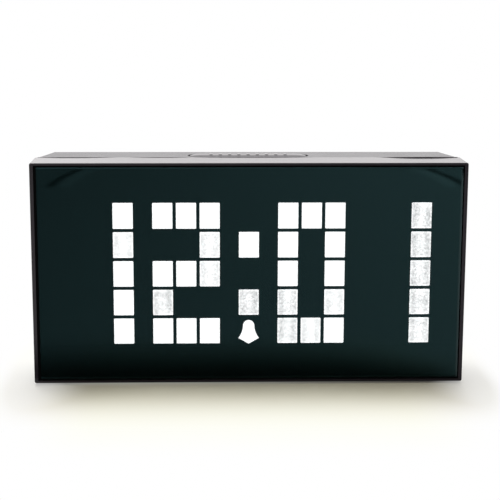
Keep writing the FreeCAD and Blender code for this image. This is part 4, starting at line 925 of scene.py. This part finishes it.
# ---------------------------------------------------------------------------- casing details
@dataclass
class SnoozeCap:
    """The snooze bar's crowned top with its row of low ribs."""

    half_length: float = 28.9 * MM
    half_width: float = 5.5 * MM
    floor: float = 107.6 * MM
    edge: float = 109.26 * MM
    crown: float = 0.64 * MM
    crown_shares: Span = (0.12, 0.97)
    crown_steps: int = 12
    edge_round: float = 0.12 * MM
    edge_steps: int = 4
    end_points: int = 16
    ribs: int = 9
    rib_pitch: float = 4.6 * MM
    rib_half_width: float = 0.85 * MM
    rib_half_length: float = 2.5 * MM
    rib_height: float = 0.27 * MM
    rib_foot: float = 0.3 * MM
    rib_corner: float = 0.4 * MM
    rib_least_corner: float = 0.1 * MM
    rib_flat: float = 0.6
    rib_steps: int = 5

    def crowned(self, y: np.ndarray | float) -> np.ndarray | float:
        """The height of the top at a distance y from the bar's middle line: a parabola."""
        return self.edge + self.crown * (1 - (y / self.half_width) ** 2)

    def cap(self) -> Skin:
        """Makes the bar's top: stadiums, one inside the other, that rise as the parabola does.

        Returns:
            The surface about X = Y = 0.
        """
        inward, upward = quarter_round(self.edge_steps)
        drawn_in = np.linspace(*self.crown_shares, self.crown_steps) * self.half_width
        inset = np.concatenate([[0.0], self.edge_round * inward, drawn_in])
        rounding = self.edge - self.edge_round * (1 - upward)
        z = np.concatenate([[self.floor], rounding, self.crowned(self.half_width - drawn_in)])
        around = self.half_width - inset
        rings = facing_up(rounded_outlines(self.half_length - inset, around, around, self.end_points), z)
        return Skin.of_rings(rings, ((0, 0, self.floor), (0, 0, self.crowned(0.0))))

    def rib(self) -> Skin:
        """Makes a low rounded bar across the top, which follows the parabola along its length.

        Returns:
            The surface about X = Y = 0.
        """
        inward, upward = quarter_round(self.rib_steps)
        inset = np.concatenate([[0.0], self.rib_height * inward, [self.rib_half_width * self.rib_flat]])
        lift = np.concatenate([[-self.rib_foot], self.rib_height * upward, [self.rib_height]])
        corner = np.maximum(self.rib_corner - inset, self.rib_least_corner)
        half_x, half_y = self.rib_half_width - inset, self.rib_half_length - inset
        rings = facing_up(rounded_outlines(half_x, half_y, corner, self.rib_steps), lift)
        rings[..., 2] += self.crowned(rings[..., 1])
        top = self.crowned(0.0)
        return Skin.of_rings(rings, ((0, 0, top + lift[0]), (0, 0, top + lift[-1])))

    def build(self) -> None:
        """Makes the bar's visible part, in place of the construction piece."""
        low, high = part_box("snooze_bar")
        ribs = self.rib().repeated(spaced(self.ribs, self.rib_pitch))
        skin = Skin.joined([self.cap(), ribs]).moved(0, (low.y + high.y) / 2, 0)
        made = skin.object("snooze_cap", CASE_FRONT.material())
        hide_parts("snooze_bar")
        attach(made, "snooze")
        LOG.info("made %s", made.name)


@dataclass
class SeamEdge:
    """The rear shell's front edge along the top seam, which bows up a little in four places."""

    half_length: float = 103.3 * MM
    top: float = 109.25 * MM
    front: float = -0.85 * MM
    seat: float = 0.09 * MM
    bows: tuple[Triple, ...] = (
        (86.0 * MM, 18.0 * MM, 0.55 * MM),
        (2.0 * MM, 30.0 * MM, 0.20 * MM),
        (-43.0 * MM, 15.0 * MM, 0.20 * MM),
        (-86.0 * MM, 19.0 * MM, 0.27 * MM),
    )
    lean: float = 5.0
    run: float = 2.4 * MM
    foot: float = 0.5 * MM
    end_depth: float = 0.2 * MM
    profile: tuple[Span, ...] = (
        (0.0, 0.0), (0.0, 0.95), (0.05, 1.0), (0.35, 0.82), (0.7, 0.3), (1.0, 0.0), (1.0, 0.0)
    )
    steps: int = 261

    def bow(self, x: np.ndarray) -> np.ndarray:
        """How far the edge stands up at x: a flat-topped bell curve exp(-d^3) for each bow."""
        heights = [height * np.exp(-np.abs((x - middle) / half) ** 3) for middle, half, height in self.bows]
        return self.seat + np.max(heights, axis=0)

    def build(self) -> None:
        """Makes the edge: one closed cross-section for each x, carried along the seam.

        A cross-section is the profile, whose points are shares of the run and of the bow's height. Its
        two ends stand one foot below the top, and its front leans forward as the bow rises.
        """
        x = np.linspace(-self.half_length, self.half_length, self.steps)
        up = self.bow(x)
        along, rise = np.array(self.profile).T
        sunk = np.zeros(len(rise))
        sunk[[0, -1]] = -self.foot
        rings = np.empty((len(x), len(along), 3))
        rings[..., 0] = x[:, None]
        forward = self.lean * (up - self.seat)[:, None] * (1 - along)
        rings[..., 1] = self.front + along * self.run - forward
        rings[..., 2] = self.top + rise * up[:, None] + sunk
        middle_y, middle_z = self.front + self.run / 2, self.top - self.end_depth
        ends = ((x[0], middle_y, middle_z), (x[-1], middle_y, middle_z))
        made = Skin.of_rings(rings[:, ::-1], ends).object("seam_edge", CASE_REAR.material())
        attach(made, "case")
        LOG.info("made %s", made.name)


@dataclass(frozen=True)
class CrossScrew:
    """A pan-head screw with a cross recess, seen from behind."""

    head: float
    height: float
    shank: float
    recess_depth: float
    recess_width: float = 0.55 * MM
    recess_slope: float = 0.08 * MM
    arm: float = 0.5
    dome: float = 0.16
    rim: float = 0.3
    point: float = 0.35
    point_length: float = 0.8 * MM
    rim_rings: tuple[float, float, int] = (1.0, 0.86, 4)
    face_rings: tuple[float, float, int] = (0.8, 0.04, 20)
    around: int = 72

    def skin(self, length: float) -> Skin:
        """The screw about the Y axis with its head's face at Y = 0.

        The face falls away towards its edge as the square of the radius, and the recess is a step down
        wherever the distance to either arm of the cross is negative.

        Args:
            length: The length under the head.

        Returns:
            The screw.
        """
        share = np.concatenate([np.linspace(*self.rim_rings), np.linspace(*self.face_rings)])
        face = spun(self.head * share, np.zeros(len(share)), self.around)
        x, z = np.abs(face[..., 0]), np.abs(face[..., 2])
        reach, half = self.arm * self.head, self.recess_width / 2
        outside = np.minimum(np.maximum(x - half, z - reach), np.maximum(z - half, x - reach))
        inside = np.clip(-outside / self.recess_slope, 0, 1)
        face[..., 1] = -self.dome * self.height * share[:, None] ** 2 - inside * self.recess_depth
        tip = -self.height - length
        radii = np.array([self.point * self.shank, self.shank, self.shank, self.head, self.head])
        y = np.array([tip, tip + self.point_length, -self.height, -self.height, -self.rim * self.height])
        rings = np.concatenate([spun(radii, y, self.around), face])
        return Skin.of_rings(rings, ((0, tip, 0), (0, -self.recess_depth, 0)))


@dataclass
class Fasteners:
    """The screws that show from behind: four deep in the rear shell and one in the cell cover."""

    case_screw: CrossScrew = CrossScrew(2.8 * MM, 2.0 * MM, 1.3 * MM, 0.7 * MM)
    case_length: float = 12 * MM
    cover_screw: CrossScrew = CrossScrew(2.0 * MM, 0.8 * MM, 1.0 * MM, 0.5 * MM)

    def build(self) -> None:
        """Makes the screws in place of the construction pieces."""
        steel = PLATED.material()
        low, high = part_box("case_screws")
        reach = self.case_screw.head
        sides, levels = (low.x + reach, high.x - reach), (low.z + reach, high.z - reach)
        places = np.array([(x, high.y, z) for x in sides for z in levels])
        case = self.case_screw.skin(self.case_length).repeated(places).object("case_screw_set", steel)
        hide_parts("case_screws")
        low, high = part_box("cell_cover_screw")
        cover_skin = self.cover_screw.skin(high.y - low.y - self.cover_screw.height)
        cover = cover_skin.moved(*rear_middle("cell_cover_screw")).object("cover_screw", steel)
        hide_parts("cell_cover_screw")
        for made in (case, cover):
            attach(made, "case")
            LOG.info("made %s", made.name)


@dataclass
class SlideGrips:
    """The ridges across each slide knob, which a fingernail catches."""

    sliders: tuple[str, ...] = ("alarm", "dimmer")
    ridges: int = 4
    pitch: float = 0.92 * MM
    half_width: float = 0.24 * MM
    half_length: float = 1.35 * MM
    height: float = 0.42 * MM
    foot: float = 0.1 * MM
    rounding: float = 0.20 * MM
    rounding_steps: int = 5
    least_corner: float = 0.02 * MM
    corner_points: int = 4

    def ridge(self) -> Skin:
        """Makes a rounded bar that stands on the knob's face.

        Returns:
            The surface about X = Z = 0.
        """
        inward, outward = quarter_round(self.rounding_steps)
        inset = np.concatenate([[0.0], self.rounding * inward])
        y = np.concatenate([[-self.foot], self.height - self.rounding * (1 - outward)])
        corner = np.maximum(self.rounding - inset, self.least_corner)
        half_x, half_z = self.half_width - inset, self.half_length - inset
        rings = facing_back(rounded_outlines(half_x, half_z, corner, self.corner_points), y)
        return Skin.of_rings(rings, ((0, y[0], 0), (0, y[-1], 0)))

    def build(self) -> None:
        """Puts a row of ridges on each knob."""
        finish = KEY_CAP.material()
        row = self.ridge().repeated(spaced(self.ridges, self.pitch))
        for slider in self.sliders:
            made = row.moved(*rear_middle(f"{slider}_slider")).object(f"{slider}_grip", finish)
            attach(made, f"{slider}_slide")
            LOG.info("made %s", made.name)


@dataclass
class InletLining:
    """The sprung metal sleeve and the pin inside the power inlet."""

    sleeve: float = 3.07 * MM
    wall: float = 0.16 * MM
    floor_depth: float = 7.38 * MM
    mouth_depth: float = 0.78 * MM
    mouth_round: float = 0.1 * MM
    sleeve_around: int = 48
    pin: float = 1.02 * MM
    pin_length: float = 6.3 * MM
    pin_point: float = 0.94
    pin_steps: int = 6
    pin_around: int = 32
    axis_height: float = 63.5 * MM

    def build(self) -> None:
        """Makes the sleeve as a spun tube and the pin as a spun rod with a rounded tip."""
        middle_x, face, _ = rear_middle("power_inlet")
        floor, mouth = face - self.floor_depth, face - self.mouth_depth
        shoulder = mouth - self.mouth_round
        radii = self.sleeve - self.wall * np.array([0.0, 0.0, 0.5, 1.0, 1.0])
        y = np.array([floor, shoulder, mouth, shoulder, floor])
        tube = Skin.of_loops(spun(radii, y, self.sleeve_around))
        inward, forward = quarter_round(self.pin_steps)
        radii = np.concatenate([[self.pin], self.pin * (1 - self.pin_point * inward)])
        y = floor + np.concatenate([[0.0], self.pin_length - self.pin * (1 - forward)])
        ends = ((0, floor, 0), (0, floor + self.pin_length, 0))
        pin = Skin.of_rings(spun(radii, y, self.pin_around), ends)
        skin = Skin.joined([tube, pin]).moved(middle_x, 0.0, self.axis_height)
        made = skin.object("inlet_lining", NICKEL.material())
        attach(made, "case")
        LOG.info("made %s", made.name)


class KeySign(Enum):
    """The raised sign on each key, by the name of its key."""

    TIME = "time"
    ALARM = "alarm"
    UP = "up"
    DOWN = "down"


@dataclass
class KeySigns:
    """Small raised signs on the keys: a dial, a bell and two arrowheads."""

    radius: float = 1.55 * MM
    line: float = 0.32 * MM
    thickness: float = 0.10 * MM
    shoulder: float = 0.08 * MM
    foot: float = 0.05 * MM
    bevel: float = 0.03 * MM
    face_shares: Span = (0.96, 0.5)
    hand_half: float = 0.5 * MM
    hand_corner: float = 0.1 * MM
    hand_points: int = 3
    hand_up: float = 0.42 * MM
    hand_side: float = 0.3 * MM
    arrow_steps: int = 6
    around: int = 40

    def tile(self, outline: np.ndarray) -> Skin:
        """Makes a thin tile with a slightly smaller face.

        Args:
            outline: The tile's outline, by point and axis.

        Returns:
            The tile about X = Z = 0.
        """
        share = np.array([1.0, 1.0, *self.face_shares])
        y = np.array([-self.foot, self.shoulder, self.thickness, self.thickness])
        rings = facing_back(outline * share[:, None, None], y)
        return Skin.of_rings(rings, ((0, y[0], 0), (0, y[-1], 0)))

    def dial(self) -> Skin:
        """Makes the dial: a ring with two hands.

        Returns:
            The surface about X = Z = 0.
        """
        inner = self.radius - self.line
        outward = np.array([self.radius, self.radius, self.radius - self.bevel])
        radii = np.concatenate([outward, [inner + self.bevel, inner, inner]])
        profile = np.array([-self.foot, self.shoulder, self.thickness])
        ring = Skin.of_loops(spun(radii, np.concatenate([profile, profile[::-1]]), self.around))
        halves = np.array([[self.line / 2], [self.hand_half], [self.hand_corner]])
        hand = rounded_outlines(*halves, self.hand_points)[0]
        upright = self.tile(hand).moved(0, 0, self.hand_up)
        level = self.tile(hand[:, ::-1] * (-1, 1)).moved(-self.hand_side, 0, 0)
        return Skin.joined([ring, upright, level])

    def arrow(self, way: int) -> Skin:
        """Makes an arrowhead: a triangle.

        Args:
            way: 1 if its tip is up, -1 if it is down.

        Returns:
            The surface about X = Z = 0.
        """
        turn = np.radians([90, 210, 330]) + (0 if way > 0 else math.pi)
        tips = np.stack([np.cos(turn), np.sin(turn)], axis=-1) * self.radius
        sides = zip(tips, np.roll(tips, -1, axis=0))
        return self.tile(np.concatenate([np.linspace(*side, self.arrow_steps)[:-1] for side in sides]))

    def bell(self) -> Skin:
        """The display's bell, made small."""
        return self.tile(Bell().outline() * (2.0 * self.radius / Bell.height))

    def build(self) -> None:
        """Puts each sign on its key's face."""
        signs = {
            KeySign.TIME: self.dial(),
            KeySign.ALARM: self.bell(),
            KeySign.UP: self.arrow(1),
            KeySign.DOWN: self.arrow(-1),
        }
        finish = PRINT.material()
        for sign, skin in signs.items():
            made = skin.moved(*rear_middle(f"{sign.value}_button")).object(f"{sign.value}_sign", finish)
            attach(made, f"{sign.value}_key")
            LOG.info("made %s", made.name)


# ---------------------------------------------------------------------------- construction pieces
DRESSED_IN: dict[Moulding | Metal, tuple[str, ...]] = {
    CASE_FRONT: ("front_bezel", "snooze_bar"),
    CASE_REAR: ("rear_shell", "cell_cover"),
    FILM: ("diffuser_film",),
    INNER_BLACK: ("light_grid",),
    SOLDER_MASK: ("led_board", "control_board", "snooze_board"),
    STEEL: (
        "led_board_screws", "control_board_screws", "snooze_board_screws", "case_screws",
        "cell_cover_screw", "slide_switches", "cell_contact",
    ),
    PHOSPHOR: ("leds",),
    EPOXY: ("controller_chip", "driver_chips", "buzzer"),
    CAN: ("crystal", "buffer_capacitors"),
    CERAMIC: ("segment_resistors",),
    NYLON: ("cable_headers",),
    LEAD: ("ribbon_cable", "snooze_lead", "buzzer_lead", "cell_lead"),
    RUBBER: ("rubber_feet",),
    SWITCH: ("key_switches", "power_inlet", "snooze_switch"),
    CELL: ("coin_cell",),
}


def dress_nodes() -> None:
    """Gives every construction piece its finish. Plungers share one, and so do keys and slide knobs."""
    finishes = {name: finish for finish, names in DRESSED_IN.items() for name in names}
    made: dict[str, bpy.types.Material] = {}
    for name, node in NODES.items():
        finish = finishes.get(name, PLUNGER if name.endswith("plunger") else KEY_CAP)
        if finish.name not in made:
            made[finish.name] = finish.material()
        node.data.materials.clear()
        node.data.materials.append(made[finish.name])
        LOG.info("dressed %s in %s", name, finish.name)


# ---------------------------------------------------------------------------- camera, light and floor
@dataclass
class Studio:
    """A soft lamp above and behind, an even fill and the camera."""

    eye: Triple = (-21.1 * MM, -680.8 * MM, 194.3 * MM)
    pitch: float = math.radians(10.93)
    yaw: float = math.radians(1.85)
    roll: float = math.radians(0.198)
    lens: float = 100.06
    sensor: float = 36.0
    fill_colour: Colour = (1.0, 0.955, 0.82)
    fill: float = 0.41
    lamp_place: Triple = (-0.07, 0.34, 1.18)
    lamp_size: float = 0.70
    lamp_power: float = 12.0

    def camera(self) -> None:
        """A long lens in front, a little to the left and above, that looks down on the display."""
        flat = math.cos(self.pitch)
        forward = Vector((math.sin(self.yaw) * flat, math.cos(self.yaw) * flat, -math.sin(self.pitch)))
        level = Vector((math.cos(self.yaw), -math.sin(self.yaw), 0.0))
        upward = level.cross(forward)
        right = level * math.cos(self.roll) + upward * math.sin(self.roll)
        up = upward * math.cos(self.roll) - level * math.sin(self.roll)
        data = bpy.data.cameras.new("camera")
        data.lens = self.lens
        data.sensor_width = self.sensor
        made = bpy.data.objects.new("camera", data)
        turned = Matrix((right, up, -forward)).transposed()
        made.matrix_world = Matrix.Translation(Vector(self.eye)) @ turned.to_4x4()
        link(made)
        bpy.context.scene.camera = made

    def lamp(self) -> None:
        """One large square lamp, aimed at the clock."""
        data = bpy.data.lights.new("lamp", "AREA")
        data.size = self.lamp_size
        data.energy = self.lamp_power
        made = bpy.data.objects.new("lamp", data)
        made.location = self.lamp_place
        made.rotation_euler = (-Vector(self.lamp_place)).to_track_quat("-Z", "Y").to_euler()
        link(made)

    def world(self) -> None:
        """A white backdrop for what is seen, and a weaker even fill for what is lit."""
        world = bpy.data.worlds.new("world")
        world.use_nodes = True
        bpy.context.scene.world = world
        graph = Graph(world.node_tree)
        fill = {"Color": graph.rgba(self.fill_colour), "Strength": self.fill}
        white = {"Color": (1.0, 1.0, 1.0, 1.0), "Strength": 1.0}
        lit, seen = (graph.node("ShaderNodeBackground", {}, inputs) for inputs in (fill, white))
        graph.end_in(graph.mixed(graph.seen(), lit, seen), "ShaderNodeOutputWorld")

    def build(self) -> None:
        """Sets up the camera and the light."""
        self.camera()
        self.lamp()
        self.world()
        bpy.context.scene.view_settings.view_transform = "Standard"


@dataclass(frozen=True)
class PaintedSheetEdge:
    """A painted reflection: the front edge of a white sheet under the clock, drawn for the clock's gloss
    only.

    The edge lies where |x - middle| + bend * min(y + bent_from, 0)^2 = half.
    """

    middle: float = 30.4 * MM
    half: float = 200.9 * MM
    bent_from: float = 690 * MM
    bend: float = 1.0
    line: Span = (0.5 * MM, 8 * MM)
    line_shade: float = 0.8
    glare_inside: float = 14 * MM
    glare: Span = (2 * MM, 10 * MM)
    glare_light: float = 0.35
    near: Span = (676 * MM, 706 * MM)
    slant: float = 0.16
    end: Span = (854 * MM, 874 * MM)
    end_shade: float = 0.9

    def level(self, x: Signal, y: Signal) -> Signal:
        """How bright the painted sheet is: its edge is a dark line with a pale one inside it.

        Args:
            x: The place on the sheet, to the right.
            y: The place on the sheet, to the back.

        Returns:
            The brightness. It drops past the sheet's slanted end.
        """
        behind = (y + self.bent_from).at_most(0.0)
        border = abs(x - self.middle) + behind * behind * self.bend - self.half
        line = 1 - abs(border).ramp(*self.line)
        glare = 1 - abs(border + self.glare_inside).ramp(*self.glare)
        drawn = (line * self.line_shade - glare * self.glare_light) * (-y).ramp(*self.near)
        beyond = (x * self.slant - y).ramp(*self.end)
        return (1 - drawn) * (1 - beyond * self.end_shade)


@dataclass
class Floor:
    """A pale floor that keeps the clock's shadow and turns to plain white away from it."""

    size: float = 9.0
    side_points: int = 5
    colour: Colour = (0.95, 0.925, 0.865)
    # painted shade: past the clock's ends the floor is cooler, a tint that shows only in the shadow there
    side_shade_tint: Colour = (0.967, 0.967, 0.947)
    side_start: Span = (92 * MM, 114 * MM)
    paper_grain: float = 0.9 * MM
    paper_shade: float = 0.985
    # painted light: nearer than these clearances, partial white shares shorten the shadow, most at the
    # clock's ends
    opening: Span = (12 * MM, 73 * MM)
    side_opening: float = 3.2
    painted_side_light: float = 0.42
    side_lit: Span = (80 * MM, 106 * MM)
    side_shift: float = -4 * MM
    painted_gap_light: float = 0.24
    gap_start: Span = (15 * MM, 19 * MM)
    gap_end: Span = (20.5 * MM, 24.5 * MM)
    gap_right: Span = (-60 * MM, 100 * MM)
    gap_fading: float = 0.85
    # painted shade: the shadow in front of the clock's middle is tinted warmer
    shade_warmth: float = 0.085
    warm_floor: Span = (50 * MM, 112 * MM)
    warm_middle: Span = (68 * MM, 108 * MM)
    # painted reflection: the floor that the clock's gloss shows darkens to the left and near the clock
    painted_left_shade: float = 0.36
    painted_left_reach: Span = (-300 * MM, 340 * MM)
    painted_contact_shade: Span = (8 * MM, 108 * MM)
    contact_lip: Span = (9 * MM, 14 * MM)
    painted_lip_light: float = 0.6
    right_opening: float = 55.0
    # painted reflection: the sheet's edge, which only the clock's gloss shows
    sheet: PaintedSheetEdge = PaintedSheetEdge()

    @staticmethod
    def clearance(x: Signal, y: Signal, sideways: float = 1.0) -> Signal:
        """How far a point of the floor is from the clock's footprint.

        Args:
            x: The place on the floor, to the right.
            y: The place on the floor, to the back.
            sideways: How many times a distance to the side counts.

        Returns:
            The distance, which is 0 on the footprint.
        """
        high = Vector(CAD_BOX[1])
        out_x = ((abs(x) - high.x) * sideways).at_least(0.0)
        out_y = (abs(y) - high.y).at_least(0.0)
        squares = out_x * out_x + out_y * out_y
        return squares.math("SQRT", squares)

    def mirrored(self, x: Signal, y: Signal, clearance: Signal) -> Signal:
        """How bright the floor is in the clock's gloss: a painted reflection.

        Args:
            x: The place on the floor, to the right.
            y: The place on the floor, to the back.
            clearance: How far it is from the clock.

        Returns:
            The brightness, with painted shade to the left and near the clock and a painted pale band at its
            foot.
        """
        # painted shade in reflections: the floor darker to the left
        level = x.ramp(*self.painted_left_reach) * (1 - self.painted_left_shade) + self.painted_left_shade
        right = x.at_least(0.0)
        # painted shadow in reflections: darker near the clock, less so towards the right
        near = (clearance + right * right * right * self.right_opening).ramp(*self.painted_contact_shade)
        # painted light in reflections: a pale band right at the clock's foot
        lip = 1 - clearance.ramp(*self.contact_lip)
        return level * near.at_least(lip * self.painted_lip_light) * self.sheet.level(x, y)

    def plain_share(self, x: Signal, y: Signal) -> Signal:
        """How far the floor shows as plain white.

        Args:
            x: The place on the floor, to the right.
            y: The place on the floor, to the back.

        Returns:
            The share: 1 away from the clock, and painted light on the shadow at its ends and below its front
                edge.
        """
        opened = self.clearance(x, y, self.side_opening).ramp(*self.opening)
        # painted light: lightens the shadow at the clock's ends
        sides = abs(x + self.side_shift).ramp(*self.side_lit) * self.painted_side_light
        # painted light: a pale strip on the floor just below the clock's front edge
        gap = (-y).ramp(*self.gap_start) * (1 - (-y).ramp(*self.gap_end))
        gap = gap * (1 - x.ramp(*self.gap_right) * self.gap_fading)
        return opened.at_least(sides).at_least(gap * self.painted_gap_light)

    def material(self) -> bpy.types.Material:
        """Builds the finish: lit paper near the clock with painted light and shade, plain light away from
        it.

        Returns:
            The material.
        """
        material, graph = new_material("floor")
        x, y = graph.axis("X"), graph.axis("Y")
        clearance = self.clearance(x, y)
        paper = graph.noise(self.paper_grain, detail=4.0)
        colour = graph.blend(paper, self.colour, scaled(self.colour, self.paper_shade))
        # painted shade: the cooler tint past the clock's ends, seen only in the shadow
        colour = graph.blend(abs(x).ramp(*self.side_start), colour, self.side_shade_tint)
        # painted reflection: only glossy rays see the floor shaded this way
        dimming = 1 - graph.ray("Is Glossy Ray") * (1 - self.mirrored(x, y, clearance))
        # painted shade: a warmer tint near the clock's middle, where its shadow lies
        middle = 1 - abs(x).ramp(*self.warm_middle)
        warm_shade = (1 - clearance.ramp(*self.warm_floor)) * middle * self.shade_warmth
        dimmed = graph.node("ShaderNodeCombineColor", {}, {0: dimming, 1: dimming, 2: dimming * (1 - warm_shade)})
        own = graph.blend(1.0, colour, dimmed, "MULTIPLY")
        lit = graph.node("ShaderNodeBsdfDiffuse", {}, {"Color": own})
        plain = graph.node("ShaderNodeEmission", {}, {"Color": dimmed, "Strength": 1.0})
        graph.end_in(graph.mixed(self.plain_share(x, y) * graph.seen(), lit, plain))
        return material

    def build(self) -> None:
        """Makes the floor as a flat grid of a few squares."""
        side = np.linspace(-self.size / 2, self.size / 2, self.side_points)
        x, y = np.meshgrid(side, side)
        points = np.stack([x, y, np.zeros_like(x)], axis=-1).reshape(-1, 3)
        index = np.arange(len(points)).reshape(x.shape)
        quads = np.stack([index[:-1, :-1], index[:-1, 1:], index[1:, 1:], index[1:, :-1]], axis=-1)
        skin = Skin(points, quads.reshape(-1, 4), np.empty((0, 3), int))
        skin.object("floor", self.material())


def main() -> None:
    """Builds the studio and the clock's looks."""
    logging.basicConfig(level=logging.INFO, format="%(name)s: %(message)s")
    Studio().build()
    Floor().build()
    dress_nodes()
    Display().build()
    SnoozeCap().build()
    SeamEdge().build()
    Fasteners().build()
    SlideGrips().build()
    InletLining().build()
    KeySigns().build()


if __name__ == "__main__":
    main()
